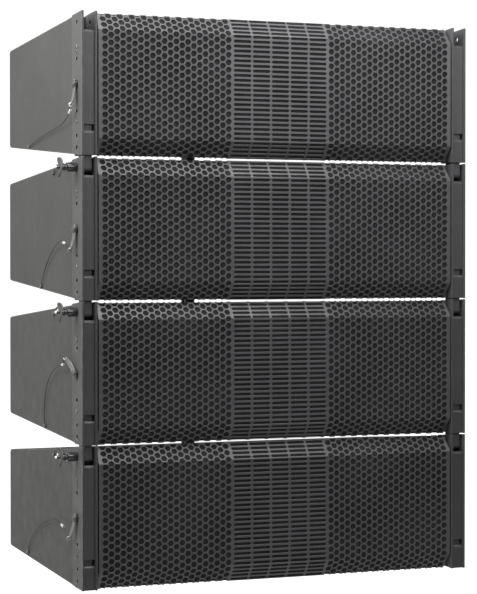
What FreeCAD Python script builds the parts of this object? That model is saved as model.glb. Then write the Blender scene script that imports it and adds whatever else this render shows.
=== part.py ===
import FreeCAD, Part
import math
import os

# Flown column of four identical two-way line array cabinets, in millimetres.
# +Z is up, +Y points from the grille to the rear, +X is to the right seen from the front.
# The origin is on the top front pin axis, midway between the two rigging channels.
# Each cabinet is drawn in its own frame, with the front plane at y = 0 and its
# mid height at z = 0, and is then moved to its place in the column.

V = FreeCAD.Vector

# Driving dimensions
CABINETS = 4
WIDTH = 854.0
DEPTH = 470.0
FRONT_HEIGHT = 281.0
REAR_HEIGHT = 207.0
PITCH = 285.0
PLY = 15.0
BAFFLE_PLY = 18.0
CORNER_RADIUS = 8.0

# Front rigging
PLATE = 4.0
CHANNEL_WIDTH = 32.0
CHANNEL_DEPTH = 62.0
EAR_RISE = 2.4
PIN_Y = 33.0
PIN_Z = 122.0
PIN_RADIUS = 5.0
PIN_BORE = 5.05
RUNNING_GAP = 0.3
LINK_TRAVEL = 39.0
LINK_THICKNESS = 16.0
LINK_FRONT = 10.0
LINK_BACK = 44.0
GUIDE_WIDTH = 23.4
GUIDE_FRONT = 4.0
UPPER_GUIDE = (-79.5, 106.0)
LOWER_GUIDE = (-140.0, -91.5)
SPARE_HOLES = (50.5, -52.0, -100.5, -124.0)
SPARE_HOLE_RADIUS = 4.2
STRIP_SCREWS = (74.0, 65.0, -74.0)

# Rear rigging
REAR_PIN_Y = 503.0
REAR_PIN_Z = 80.0
SPLAY_RANGE = 10.0
ARM_WIDTH = 22.0
ARM_DEPTH = 26.0
ARM_TOP = -30.0
ARM_BOLTS = (-50.0, -80.0)
CHEEK_GAP = 24.0
CHEEK_REAR = 521.0

# Grille
GRILLE_FRONT = 2.0
GRILLE_SHEET = 1.5
GRILLE_HALF_WIDTH = 392.0
GRILLE_FLAT = 107.5
GRILLE_EDGE_Y = 24.0
GRILLE_EDGE_Z = 140.8
GRILLE_END_CUT = 5.0
GRILLE_CUT_Z = 113.0
FOAM_GAP = 0.3
FOAM_SIDE_GAP = 8.0
BOX_FRONT = 26.0

# Drivers
WOOFER_X = 248.5
WOOFER_RADIUS = 120.0
WOOFER_CUTOUT = 109.0
HORN_HALF_WIDTH = 92.0
HORN_HALF_HEIGHT = 100.0
BAFFLE_FRONT = CHANNEL_DEPTH

# Lanyards: (y, z) stations of each wire in its cabinet's frame, with the wire's x
WIRE_RADIUS = 1.0
MID_WIRES = (
    ((-438, 46, -56), (-436, 74, -69), (-434, 110, -77), (-433, 150, -81),
     (-432, 196, -88), (-432, 246, -93), (-431, 290, -102), (-430, 326, -108)),
    ((-439, 78, -26), (-437, 106, -23), (-434, 142, -30), (-432, 184, -52),
     (-431, 220, -77), (-430, 247, -111)),
    ((-439, 88, 16), (-437, 114, 13), (-435, 148, 5), (-433, 180, -9),
     (-432, 206, -30), (-431, 221, -60), (-431, 227, -88), (-430, 226, -111)),
    ((-439, 92, -18), (-437, 122, -12), (-435, 162, -14), (-433, 204, -22),
     (-432, 246, -36), (-431, 288, -54), (-431, 321, -77), (-430, 338, -99)),
)
TOP_WIRE = ((-452, 74, 125), (-444, 98, 130), (-437, 126, 130), (-432, 150, 125), (-430, 165, 118))
MID_LEVER_TURNS = (4.0, 12.0, 172.0, 24.0)
TOP_WING_TURNS = (0.0, 4.0, 0.0, -3.0)
ANCHOR_LENGTH = 9.0
ANCHOR_WIDTH = 6.0

CHANNEL_INSIDE = WIDTH / 2 - CHANNEL_WIDTH
CHANNEL_MIDDLE = WIDTH / 2 - CHANNEL_WIDTH / 2
SLOPE = (FRONT_HEIGHT - REAR_HEIGHT) / 2 / DEPTH
LINK_PIN_Z = PIN_Z - PITCH


def box(x, y, z):
    """Rectangular block between the (low, high) limits on each axis."""
    return Part.makeBox(x[1] - x[0], y[1] - y[0], z[1] - z[0], V(x[0], y[0], z[0]))


def prism(profile, x):
    """Side profile of (y, z) points, extruded between two x values."""
    corners = [V(x[0], y, z) for y, z in profile]
    face = Part.Face(Part.makePolygon(corners + corners[:1]))
    return face.extrude(V(x[1] - x[0], 0, 0))


def plate(outline, y):
    """Front outline of (x, z) points, extruded between two y values."""
    corners = [V(x, y[0], z) for x, z in outline]
    face = Part.Face(Part.makePolygon(corners + corners[:1]))
    return face.extrude(V(0, y[1] - y[0], 0))


def rod(start, direction, radius, length):
    return Part.makeCylinder(radius, length, V(*start), V(*direction))


def turned(profile, x):
    """Profile of (radius, y) points turned about the y direction at x."""
    corners = [V(x + radius, y, 0) for radius, y in profile]
    face = Part.Face(Part.makePolygon(corners + corners[:1]))
    return face.revolve(V(x, 0, 0), V(0, 1, 0), 360)


def mirrored(shape):
    return shape.mirror(V(0, 0, 0), V(1, 0, 0))


def both_sides(shapes):
    return shapes + [mirrored(shape) for shape in shapes]


def joined(shapes):
    return shapes[0].multiFuse(shapes[1:]).removeSplitter()


def half_height(y):
    """Half of the cabinet's outside height at depth y."""
    return FRONT_HEIGHT / 2 - SLOPE * y


def wedge(y, inset=0.0):
    """Side profile of the wedge between two depths, set in from its top and bottom faces."""
    front, rear = y
    high = half_height(front) - inset
    low = half_height(rear) - inset
    return [(front, -high), (front, high), (rear, low), (rear, -low)]


def pin_hole(x, y, z, radius):
    return rod((x[0], y, z), (1, 0, 0), radius, x[1] - x[0])


# ---------------------------------------------------------------- cabinet box

def side_panel():
    half = WIDTH / 2
    panel = prism(wedge((CHANNEL_DEPTH, DEPTH)), (half - PLY, half))
    rear = [e for e in panel.Edges
            if min(v.Y for v in e.Vertexes) > DEPTH - 1 and abs(e.Vertexes[0].X - e.Vertexes[1].X) > 1]
    return panel.makeFillet(CORNER_RADIUS, rear)


def roof_board():
    """Sloped top board behind the rigging channels."""
    return prism(roof_profile(CHANNEL_DEPTH, DEPTH - PLY), (PLY - WIDTH / 2, WIDTH / 2 - PLY))


def roof_batten():
    """Front strip of the top between the channels, with a pocket at each end for a pin's tip."""
    strip = prism(roof_profile(BOX_FRONT, CHANNEL_DEPTH), (-CHANNEL_INSIDE, CHANNEL_INSIDE))
    pocket = pin_hole((CHANNEL_INSIDE - 12, CHANNEL_INSIDE + 1), PIN_Y, PIN_Z, PIN_RADIUS + 3)
    return strip.cut(Part.makeCompound(both_sides([pocket])))


def roof_profile(front, rear):
    """Side profile of the top between two depths, one board thick."""
    high, low = half_height(front), half_height(rear)
    return [(front, high), (rear, low), (rear, low - PLY), (front, high - PLY)]


def rear_panel():
    half = WIDTH / 2 - PLY
    board = prism(wedge((DEPTH - PLY, DEPTH)), (-half, half))
    edges = [e for e in board.Edges
             if min(v.Y for v in e.Vertexes) > DEPTH - 1 and abs(e.Vertexes[0].X - e.Vertexes[1].X) > 1]
    board = board.makeFillet(CORNER_RADIUS, edges)
    return board.cut(box((178, 322), (DEPTH - PLY - 1, DEPTH + 1), (-42, 42)))


def baffle():
    half = WIDTH / 2 - PLY
    rear = BAFFLE_FRONT + BAFFLE_PLY
    board = prism(wedge((BAFFLE_FRONT, rear), PLY), (-half, half))
    holes = both_sides([rod((WOOFER_X, BAFFLE_FRONT - 1, 0), (0, 1, 0), WOOFER_CUTOUT, BAFFLE_PLY + 2)])
    holes.append(box((-HORN_HALF_WIDTH, HORN_HALF_WIDTH), (BAFFLE_FRONT - 1, rear + 1),
                     (-HORN_HALF_HEIGHT, HORN_HALF_HEIGHT)))
    return board.cut(Part.makeCompound(holes))


def enclosure():
    roof = [roof_board(), roof_batten()]
    floor = [board.mirror(V(0, 0, 0), V(0, 0, 1)) for board in roof]
    return both_sides([side_panel()]) + roof + floor + [rear_panel(), baffle()]


# --------------------------------------------------------------------- grille

def grille():
    """Steel sheet with a flat front, folded back along the top and the bottom."""
    sheet = GRILLE_SHEET
    inner_flat = GRILLE_FLAT - sheet * 0.55
    outer = [(GRILLE_EDGE_Y, GRILLE_EDGE_Z), (GRILLE_FRONT, GRILLE_FLAT)]
    inner = [(GRILLE_FRONT + sheet, inner_flat), (GRILLE_EDGE_Y, GRILLE_EDGE_Z - sheet * 1.3)]
    profile = outer + [(y, -z) for y, z in reversed(outer)] + [(y, -z) for y, z in reversed(inner)] + inner
    body = prism(profile, (-GRILLE_HALF_WIDTH, GRILLE_HALF_WIDTH))
    cut_x = GRILLE_HALF_WIDTH - GRILLE_END_CUT
    corner = [(GRILLE_HALF_WIDTH + 1, GRILLE_CUT_Z), (GRILLE_HALF_WIDTH, GRILLE_CUT_Z),
              (cut_x, GRILLE_EDGE_Z + 1), (GRILLE_HALF_WIDTH + 1, GRILLE_EDGE_Z + 1)]
    high = plate(corner, (0, GRILLE_EDGE_Y + 1))
    low = high.mirror(V(0, 0, 0), V(0, 0, 1))
    body = body.cut(Part.makeCompound(both_sides([high, low])))
    half = GRILLE_HALF_WIDTH - FOAM_SIDE_GAP
    foam_front = GRILLE_FRONT + sheet + 0.2
    foam = box((-half, half), (foam_front, foam_front + 6), (-inner_flat + 1, inner_flat - 1))
    lining = folded_foam(half)
    rail = box((-GRILLE_HALF_WIDTH + 30, GRILLE_HALF_WIDTH - 30),
               (BOX_FRONT, BOX_FRONT + 10), (104, 122.5))
    post = box((-6, 6), (GRILLE_FRONT + sheet + 6.4, BOX_FRONT), (104, 110))
    posts = [post.translated(V(x, 0, 0)) for x in (-300, -120, 120, 300)]
    rail = joined([rail] + posts)
    solids = [lining, rail]
    return [body, foam] + solids + [solid.mirror(V(0, 0, 0), V(0, 0, 1)) for solid in solids]


def folded_foam(half):
    """Thin foam strip behind the folded-back part of the sheet."""
    rise = GRILLE_EDGE_Z - GRILLE_FLAT
    run = GRILLE_EDGE_Y - GRILLE_FRONT
    length = math.hypot(run, rise)
    along = (run / length, rise / length)
    inward = (along[1], -along[0])

    def point(distance, depth):
        return (GRILLE_FRONT + along[0] * distance + inward[0] * depth,
                GRILLE_FLAT + along[1] * distance + inward[1] * depth)

    front = GRILLE_SHEET + FOAM_GAP
    rear = front + 3
    end = length - 1.5
    profile = [point(6, front), point(end, front), point(end, front + 1.2), point(end - 6, rear), point(6, rear)]
    return prism(profile, (-half, half))


# -------------------------------------------------------------- front rigging

def channel():
    """Three steel plates welded as a U that is open to the front; its flanges reach up as pin ears."""
    half = WIDTH / 2
    front, rear = half_height(0), half_height(CHANNEL_DEPTH)
    ear = [(0, -front), (0, front + EAR_RISE), (CHANNEL_DEPTH, rear + EAR_RISE), (CHANNEL_DEPTH, -rear)]
    across = (CHANNEL_INSIDE - 1, half + 1)
    pins = [pin_hole(across, PIN_Y, z, PIN_BORE) for z in (PIN_Z, 0)]
    small = [pin_hole(across, PIN_Y, z, SPARE_HOLE_RADIUS) for z in SPARE_HOLES]
    small += [pin_hole(across, PIN_Y, z, 2.1) for z in STRIP_SCREWS]
    outer = prism(ear, (half - PLATE, half)).cut(Part.makeCompound(pins + small))
    inner = prism(ear, (CHANNEL_INSIDE, CHANNEL_INSIDE + PLATE)).cut(Part.makeCompound(pins))
    back = prism(wedge((CHANNEL_DEPTH - PLATE, CHANNEL_DEPTH)), (CHANNEL_INSIDE + PLATE, half - PLATE))
    return [outer, inner, back]


def guide(z):
    """Guide block welded in the channel; the link slides in its slot."""
    x = (CHANNEL_MIDDLE - GUIDE_WIDTH / 2, CHANNEL_MIDDLE + GUIDE_WIDTH / 2)
    front, rear = GUIDE_FRONT, CHANNEL_DEPTH - PLATE
    lead = 4.0
    profile = [(front, z[0]), (front, z[1] - lead), (front + lead, z[1]), (rear, z[1]), (rear, z[0])]
    slot_half = LINK_THICKNESS / 2 + 0.5
    slot = box((CHANNEL_MIDDLE - slot_half, CHANNEL_MIDDLE + slot_half),
               (LINK_FRONT - 0.5, LINK_BACK + 0.5), (z[0] - 1, z[1] + 1))
    cuts = [slot]
    cuts += [pin_hole((x[0] - 1, x[1] + 1), PIN_Y, 0, PIN_BORE)]
    cuts += [pin_hole((CHANNEL_MIDDLE, x[1] + 1), PIN_Y, height, 2.1) for height in STRIP_SCREWS]
    cuts += [pin_hole((CHANNEL_MIDDLE, x[1] + 1), PIN_Y, height, SPARE_HOLE_RADIUS) for height in SPARE_HOLES]
    return prism(profile, x).cut(Part.makeCompound(cuts))


def link(raised):
    """Link bar: a pin hole in its nose, and a slot that the lock pin runs in."""
    low = LINK_PIN_Z - 10.5
    blank = prism([(LINK_FRONT, low), (LINK_FRONT, 20), (LINK_BACK, 20), (LINK_BACK, low)],
                  (CHANNEL_MIDDLE - LINK_THICKNESS / 2, CHANNEL_MIDDLE + LINK_THICKNESS / 2))
    nose = [e for e in blank.Edges
            if max(v.Z for v in e.Vertexes) < low + 1 and abs(e.Vertexes[0].X - e.Vertexes[1].X) > 1]
    blank = blank.makeFillet(9.0, nose)
    x = (CHANNEL_MIDDLE - LINK_THICKNESS, CHANNEL_MIDDLE + LINK_THICKNESS)
    slot_radius = PIN_RADIUS + RUNNING_GAP
    slot = joined([pin_hole(x, PIN_Y, 0, slot_radius), pin_hole(x, PIN_Y, -LINK_TRAVEL, slot_radius),
                   box(x, (PIN_Y - slot_radius, PIN_Y + slot_radius), (-LINK_TRAVEL, 0))])
    bar = blank.cut(slot).cut(pin_hole(x, PIN_Y, LINK_PIN_Z, PIN_BORE))
    return bar.translated(V(0, 0, LINK_TRAVEL)) if raised else bar


def rigging_channels(with_links):
    solids = channel() + [guide(UPPER_GUIDE), guide(LOWER_GUIDE)]
    if with_links:
        solids.append(link(raised=False))
    return both_sides(solids)


# ---------------------------------------------------------------------- pins
# Each pin is drawn with its axis along +x, starting from the flange's outer face at x = 0.

def leaf(length, width, x, z_shift):
    """Leaf outline with two pointed ends, as the overlap of two discs."""
    half_length = length / 2
    half_width = width / 2
    radius = (half_length ** 2 + half_width ** 2) / (2 * half_width)
    offset = radius - half_width
    discs = [rod((x[0], side * offset, z_shift), (1, 0, 0), radius, x[1] - x[0]) for side in (-1, 1)]
    return discs[0].common(discs[1])


def pin_shaft(length):
    shaft = rod((-length, 0, 0), (1, 0, 0), PIN_RADIUS, length + 2)
    tip = [e for e in shaft.Edges if e.BoundBox.XMax < -length + 0.1]
    return shaft.makeChamfer(1.0, tip)


def lever_pin(turn, length=CHANNEL_WIDTH):
    """Quick-release pin with a low collar, a push button and a curved lever that hangs along it."""
    collar = rod((RUNNING_GAP, 0, 0), (1, 0, 0), 9.0, 3.2)
    span = 58.0
    centre = -19.0
    bend = 150.0
    thickness = 3.0
    crown = Part.makeCylinder(bend, 40, V(3.0 + bend, -20, 4), V(0, 1, 0))
    core = Part.makeCylinder(bend - thickness, 42, V(3.0 + bend, -21, 4), V(0, 1, 0))
    strip = crown.cut(core).common(box((0, 18), (-20, 20), (-60, 20)))
    lever = strip.common(leaf(span, 15.0, (0, 18), centre))
    body = joined([pin_shaft(length), collar, lever])
    button = rod((6.2, 0, 0), (1, 0, 0), 4.5, 3.4)
    button = button.makeFillet(1.2, [e for e in button.Edges if e.BoundBox.XMin > 9])
    body = body.cut(rod((5.0, 0, 0), (1, 0, 0), 4.5, 8))
    stem = rod((5.0, 0, 0), (1, 0, 0), 4.5, 1.2)
    solids = [body, joined([button, stem])]
    return [s.rotated(V(0, 0, 0), V(1, 0, 0), turn) for s in solids]


def wing_pin(turn):
    """Quick-release pin with a long collar, a wing grip and a release button on its end."""
    collar = rod((RUNNING_GAP, 0, 0), (1, 0, 0), 9.2, 21.0)
    rims = [e for e in collar.Edges if e.Closed]
    collar = collar.makeFillet(1.2, rims)
    neck = rod((21, 0, 0), (1, 0, 0), 5.6, 10.5)
    wing = leaf(39.0, 18.0, (31, 35.5), 0)
    body = joined([pin_shaft(CHANNEL_WIDTH), collar, neck, wing])
    button = rod((35.5, 0, 0), (1, 0, 0), 3.3, 10.0)
    button = button.makeFillet(1.0, [e for e in button.Edges if e.BoundBox.XMin > 45])
    return [s.rotated(V(0, 0, 0), V(1, 0, 0), turn) for s in (body, button)]


def ferrule(start, toward, length=11.0):
    """Crimp ferrule that ends just short of the wire's first point."""
    heading = V(*toward).sub(V(*start)).normalize()
    base = V(*start).sub(heading * (length + RUNNING_GAP))
    return Part.makeCylinder(2.3, length, base, heading)


def right_pin(solids, z):
    return [s.translated(V(WIDTH / 2, PIN_Y, z)) for s in solids]


def left_pin(solids, z):
    return [mirrored(s) for s in right_pin(solids, z)]


# -------------------------------------------------------------- rear rigging

def rear_bracket(with_arm):
    """Two angle brackets on the rear panel, and the splay arm bolted between them."""
    inside = CHEEK_GAP / 2
    outside = inside + PLATE
    cheek = prism([(DEPTH, -95), (DEPTH, 95), (CHEEK_REAR - 12, 92), (CHEEK_REAR, 76),
                   (CHEEK_REAR, -76), (CHEEK_REAR - 12, -92)], (inside, outside))
    foot = box((outside, outside + 28), (DEPTH, DEPTH + PLATE), (-90, 90))
    x = (0, outside + 1)
    holes = [pin_hole(x, REAR_PIN_Y, REAR_PIN_Z, PIN_BORE)]
    holes += [pin_hole(x, REAR_PIN_Y, z, 4.1) for z in ARM_BOLTS]
    holes += [rod((outside + 15, DEPTH - 1, z), (0, 1, 0), 3.3, PLATE + 2) for z in (-70, 0, 70)]
    angle = joined([cheek, foot]).cut(Part.makeCompound(holes))
    solids = both_sides([angle])
    if with_arm:
        solids.append(splay_arm())
        solids += arm_bolts()
    return solids


def arc_point(radius, angle):
    """Point on an arc about the front pin axis of the cabinet below, in this cabinet's frame."""
    return V(0, PIN_Y + radius * math.cos(angle), LINK_PIN_Z + radius * math.sin(angle))


def arc_band(radius, half_depth, low, high, x):
    """Curved strip about the front pin axis, between two angles in radians."""
    middle = (low + high) / 2
    inner, outer = radius - half_depth, radius + half_depth
    edges = [
        Part.Arc(arc_point(outer, low), arc_point(outer, middle), arc_point(outer, high)).toShape(),
        Part.LineSegment(arc_point(outer, high), arc_point(inner, high)).toShape(),
        Part.Arc(arc_point(inner, high), arc_point(inner, middle), arc_point(inner, low)).toShape(),
        Part.LineSegment(arc_point(inner, low), arc_point(outer, low)).toShape(),
    ]
    face = Part.Face(Part.Wire(edges))
    return face.translated(V(x[0], 0, 0)).extrude(V(x[1] - x[0], 0, 0))


def splay_arm():
    """Arm whose curved slot follows the rear pin as the cabinet below swings up."""
    reach = REAR_PIN_Y - PIN_Y
    drop = REAR_PIN_Z - PIN_Z
    radius = math.hypot(reach, drop)
    rest = math.atan2(drop, reach)
    raised = rest + math.radians(SPLAY_RANGE)
    x = (-ARM_WIDTH / 2, ARM_WIDTH / 2)
    end_margin = ARM_DEPTH / 2 / radius
    band = arc_band(radius, ARM_DEPTH / 2, rest - end_margin, raised, x)
    top = arc_point(radius, raised)
    shank = box(x, (top.y - ARM_DEPTH / 2, top.y + ARM_DEPTH / 2), (top.z - 6, ARM_TOP))
    slot_half = PIN_RADIUS + RUNNING_GAP
    slot = arc_band(radius, slot_half, rest, raised, (x[0] - 1, x[1] + 1))
    ends = [pin_hole((x[0] - 1, x[1] + 1), p.y, p.z, slot_half)
            for p in (arc_point(radius, rest), arc_point(radius, raised))]
    holes = [pin_hole((x[0] - 1, x[1] + 1), REAR_PIN_Y, z, 4.1) for z in ARM_BOLTS]
    return joined([band, shank]).cut(Part.makeCompound([slot] + ends + holes))


def arm_bolts():
    """Two bolts with hex heads and nuts that hold the arm between the cheeks."""
    grip = CHEEK_GAP / 2 + PLATE
    bolts = []
    for z in ARM_BOLTS:
        shank = rod((-grip, REAR_PIN_Y, z), (1, 0, 0), 4.0, 2 * grip)
        head = hex_head((-grip, REAR_PIN_Y, z), (-1, 0, 0), 7.5, 5.0)
        nut = hex_head((grip, REAR_PIN_Y, z), (1, 0, 0), 7.5, 6.0)
        bolts.append(joined([shank, head, nut]))
    return bolts


def hex_head(centre, direction, radius, height):
    axis = V(*direction)
    circle = [V(0, radius * math.cos(math.radians(60 * i)), radius * math.sin(math.radians(60 * i)))
              for i in range(6)]
    if abs(axis.y) > 0.5:
        circle = [V(p.y, 0, p.z) for p in circle]
    corners = [V(*centre).add(p) for p in circle]
    return Part.Face(Part.makePolygon(corners + corners[:1])).extrude(axis * height)


def rear_pin():
    """Pin that joins a cabinet's rear brackets to the arm of the cabinet above."""
    grip = CHEEK_GAP / 2 + PLATE
    solids = lever_pin(90.0, length=2 * grip)
    return [s.translated(V(grip, REAR_PIN_Y, REAR_PIN_Z)) for s in solids]


# -------------------------------------------------------------------- drivers

def woofer_frames():
    """Stamped basket with six windows, and the magnet on its back, for each woofer."""
    rim = BAFFLE_FRONT
    basket = turned([(WOOFER_RADIUS, rim - 4), (WOOFER_RADIUS, rim), (107.5, rim), (107.5, rim + 12),
                     (58, rim + 66), (58, rim + 70), (30, rim + 70), (30, rim + 67), (55.5, rim + 67),
                     (55.5, rim + 64.8), (104.5, rim + 11), (104.5, rim - 4)], WOOFER_X)
    window = box((WOOFER_X + 62, WOOFER_X + 103), (rim + 14, rim + 62), (-19, 19))
    windows = [window.rotated(V(WOOFER_X, 0, 0), V(0, 1, 0), 60 * i) for i in range(6)]
    basket = basket.cut(Part.makeCompound(windows + bolt_circle(2.2, rim - 5, 12)))
    motor = turned([(0, rim + 70), (24.0, rim + 70), (24.0, rim + 92), (27.6, rim + 92), (27.6, rim + 70),
                    (56, rim + 70), (56, rim + 76), (68, rim + 76), (68, rim + 98), (60, rim + 104),
                    (0, rim + 104)], WOOFER_X)
    return both_sides([basket, motor])


def bolt_circle(radius, y, length):
    rods = []
    for i in range(8):
        angle = math.radians(22.5 + 45 * i)
        x = WOOFER_X + 113.5 * math.cos(angle)
        rods.append(rod((x, y, 113.5 * math.sin(angle)), (0, 1, 0), radius, length))
    return rods


def cones():
    """Paper cone with its rolled surround, dust cap and voice coil former."""
    rim = BAFFLE_FRONT
    cone = turned([(93, rim - 3), (93, rim - 1.6), (26.2, rim + 40), (26.2, rim + 82), (25.0, rim + 82),
                   (25.0, rim + 37), (91.5, rim - 3)], WOOFER_X)
    ball = Part.makeSphere(36, V(WOOFER_X, rim + 56, 0)).cut(Part.makeSphere(34.8, V(WOOFER_X, rim + 56, 0)))
    cap = ball.common(rod((WOOFER_X, rim + 19, 0), (0, 1, 0), 24.9, 12.4))
    roll_centre = 98.0
    roll_out, roll_in = 5.2, 4.2
    edges = [
        Part.Arc(V(roll_centre + roll_out, rim - 3, 0), V(roll_centre, rim - 3 - roll_out, 0),
                 V(roll_centre - roll_out, rim - 3, 0)).toShape(),
        Part.LineSegment(V(roll_centre - roll_out, rim - 3, 0),
                         V(roll_centre - roll_in, rim - 3, 0)).toShape(),
        Part.Arc(V(roll_centre - roll_in, rim - 3, 0), V(roll_centre, rim - 3 - roll_in, 0),
                 V(roll_centre + roll_in, rim - 3, 0)).toShape(),
        Part.LineSegment(V(roll_centre + roll_in, rim - 3, 0),
                         V(roll_centre + roll_out, rim - 3, 0)).toShape(),
    ]
    roll = Part.Face(Part.Wire(edges)).revolve(V(0, 0, 0), V(0, 1, 0), 360).translated(V(WOOFER_X, 0, 0))
    moving = joined([cone, cap])
    return both_sides([moving, roll])


def rectangle(half_x, half_z, y):
    corners = [V(-half_x, y, -half_z), V(half_x, y, -half_z), V(half_x, y, half_z), V(-half_x, y, half_z)]
    return Part.makePolygon(corners + corners[:1])


def hf_unit():
    """Rectangular waveguide behind the grille's slots, and its compression driver."""
    mouth_y = BAFFLE_FRONT - 4
    throat_y = BAFFLE_FRONT + 92
    wall = 3.0
    outer = Part.makeLoft([rectangle(HORN_HALF_WIDTH - 2, HORN_HALF_HEIGHT - 2, mouth_y),
                           rectangle(18, 18, throat_y)], True)
    inner = Part.makeLoft([rectangle(HORN_HALF_WIDTH - 2 - wall, HORN_HALF_HEIGHT - 2 - wall, mouth_y),
                           rectangle(18 - wall, 18 - wall, throat_y)], True)
    flange = box((-HORN_HALF_WIDTH - 10, HORN_HALF_WIDTH + 10), (mouth_y, BAFFLE_FRONT),
                 (-HORN_HALF_HEIGHT - 8, HORN_HALF_HEIGHT + 8))
    horn = joined([outer, flange]).cut(inner)
    holes = [rod((x, mouth_y - 1, z), (0, 1, 0), 2.2, 10) for x, z in horn_bolts()]
    horn = horn.cut(Part.makeCompound(holes))
    driver = turned([(13, throat_y), (62, throat_y), (62, throat_y + 14), (54, throat_y + 16),
                     (54, throat_y + 46), (30, throat_y + 54), (0, throat_y + 54), (0, throat_y + 30),
                     (13, throat_y + 24)], 0)
    return [horn, driver]


def horn_bolts():
    return [(x, z) for x in (-HORN_HALF_WIDTH - 5, HORN_HALF_WIDTH + 5) for z in (-80, 0, 80)]


# -------------------------------------------------------------- rear fittings

def input_panel():
    """Connector plate with two round sockets, and the crossover board on its standoffs."""
    plate_box = box((165, 335), (DEPTH, DEPTH + 2.5), (-55, 55))
    sockets = []
    solids = []
    for x in (215, 285):
        sockets.append(rod((x, DEPTH - 1, 6), (0, 1, 0), 14.2, 5))
        shell = rod((x, DEPTH - 22, 6), (0, 1, 0), 14.0, 27)
        flange = box((x - 19, x + 19), (DEPTH + 2.5, DEPTH + 4.5), (-14, 26))
        well = rod((x, DEPTH - 16, 6), (0, 1, 0), 11.5, 30)
        core = rod((x, DEPTH - 22, 6), (0, 1, 0), 6.0, 22)
        solids.append(joined([joined([shell, flange]).cut(well), core]))
    holes = [rod((x, DEPTH - 1, z), (0, 1, 0), 2.2, 5) for x, z in plate_screws()]
    panel = plate_box.cut(Part.makeCompound(sockets + holes))
    board_y = DEPTH - 48
    board = box((182, 318), (board_y, board_y + 2), (-38, 38))
    posts = [rod((x, board_y + 2, z), (0, 1, 0), 3.0, DEPTH - board_y - 2)
             for x in (188, 312) for z in (-32, 32)]
    parts = [rod((210, board_y - 22, -8), (0, 1, 0), 20, 22), rod((266, board_y - 16, 12), (0, 1, 0), 15, 16),
             rod((292, board_y - 7.2, -24), (-1, 0, 0), 7, 36)]
    return [panel] + solids + [joined([board] + posts)] + parts


def plate_screws():
    return [(x, z) for x in (171, 329) for z in (-49, 49)]


def rear_handle():
    """Upright bar handle with two feet, screwed to the rear panel."""
    foot = box((362, 388), (DEPTH, DEPTH + 30), (46, 66))
    feet = [foot, foot.mirror(V(0, 0, 0), V(0, 0, 1))]
    bar = rod((375, DEPTH + 30, -66), (0, 0, 1), 9.0, 132)
    holes = [rod((375, DEPTH - 1, z), (0, 1, 0), 2.6, 12) for z in (-56, 56)]
    return joined(feet + [bar]).cut(Part.makeCompound(holes))


def rear_fittings():
    return input_panel() + both_sides([rear_handle()])


# --------------------------------------------------------------------- screws

def screw(point, heading, radius, length, head_radius, head):
    """Screw whose head lies on a face at point and whose shank runs along heading."""
    into = V(*heading)
    shank = Part.makeCylinder(radius, length, V(*point), into)
    cap = Part.makeCylinder(head_radius, head, V(*point).sub(into * head), into)
    return joined([shank, cap])


def screws(index):
    half = WIDTH / 2
    side = [screw((half, PIN_Y, z), (-1, 0, 0), 2.0, 8.0, 4.2, 1.6) for z in STRIP_SCREWS]
    angle_x = CHEEK_GAP / 2 + PLATE + 15
    side += [screw((angle_x, DEPTH + PLATE, z), (0, -1, 0), 3.0, 16, 5.5, 3.2) for z in (-70, 0, 70)]
    for i in range(8):
        angle = math.radians(22.5 + 45 * i)
        x = WOOFER_X + 113.5 * math.cos(angle)
        side.append(screw((x, BAFFLE_FRONT - 4, 113.5 * math.sin(angle)), (0, 1, 0), 2.0, 16, 4.0, 2.2))
    side += [screw((375, DEPTH - PLY, z), (0, 1, 0), 2.4, PLY + 9, 5.0, 2.6) for z in (-56, 56)]
    solids = both_sides(side)
    solids += [screw((x, BAFFLE_FRONT - 4, z), (0, 1, 0), 2.0, 16, 4.0, 2.2) for x, z in horn_bolts()]
    solids += [screw((x, DEPTH + 2.5, z), (0, -1, 0), 2.0, 12, 4.0, 2.0) for x, z in plate_screws()]
    return solids + [anchor(wire) for wire in wires(index)]


def wires(index):
    """Routes of the left-hand lanyards on one cabinet."""
    return [MID_WIRES[index]] + ([TOP_WIRE] if index > 0 else [])


def anchor(route):
    """Small clip block on the side panel that holds the end of a lanyard."""
    x, y, z = route[-1]
    face = -WIDTH / 2
    half = ANCHOR_WIDTH / 2
    block = box((face - 4.6, face), (y - half, y + half), (z - ANCHOR_LENGTH, z - 0.2))
    return block.rotated(V(face, y, z), V(1, 0, 0), anchor_turn(route))


def anchor_turn(route):
    """Angle about x that lines the clip block up with the wire's last run."""
    (_, y0, z0), (_, y1, z1) = route[-2], route[-1]
    return math.degrees(math.atan2(y1 - y0, -(z1 - z0)))


# ------------------------------------------------------------------- lanyards

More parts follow.
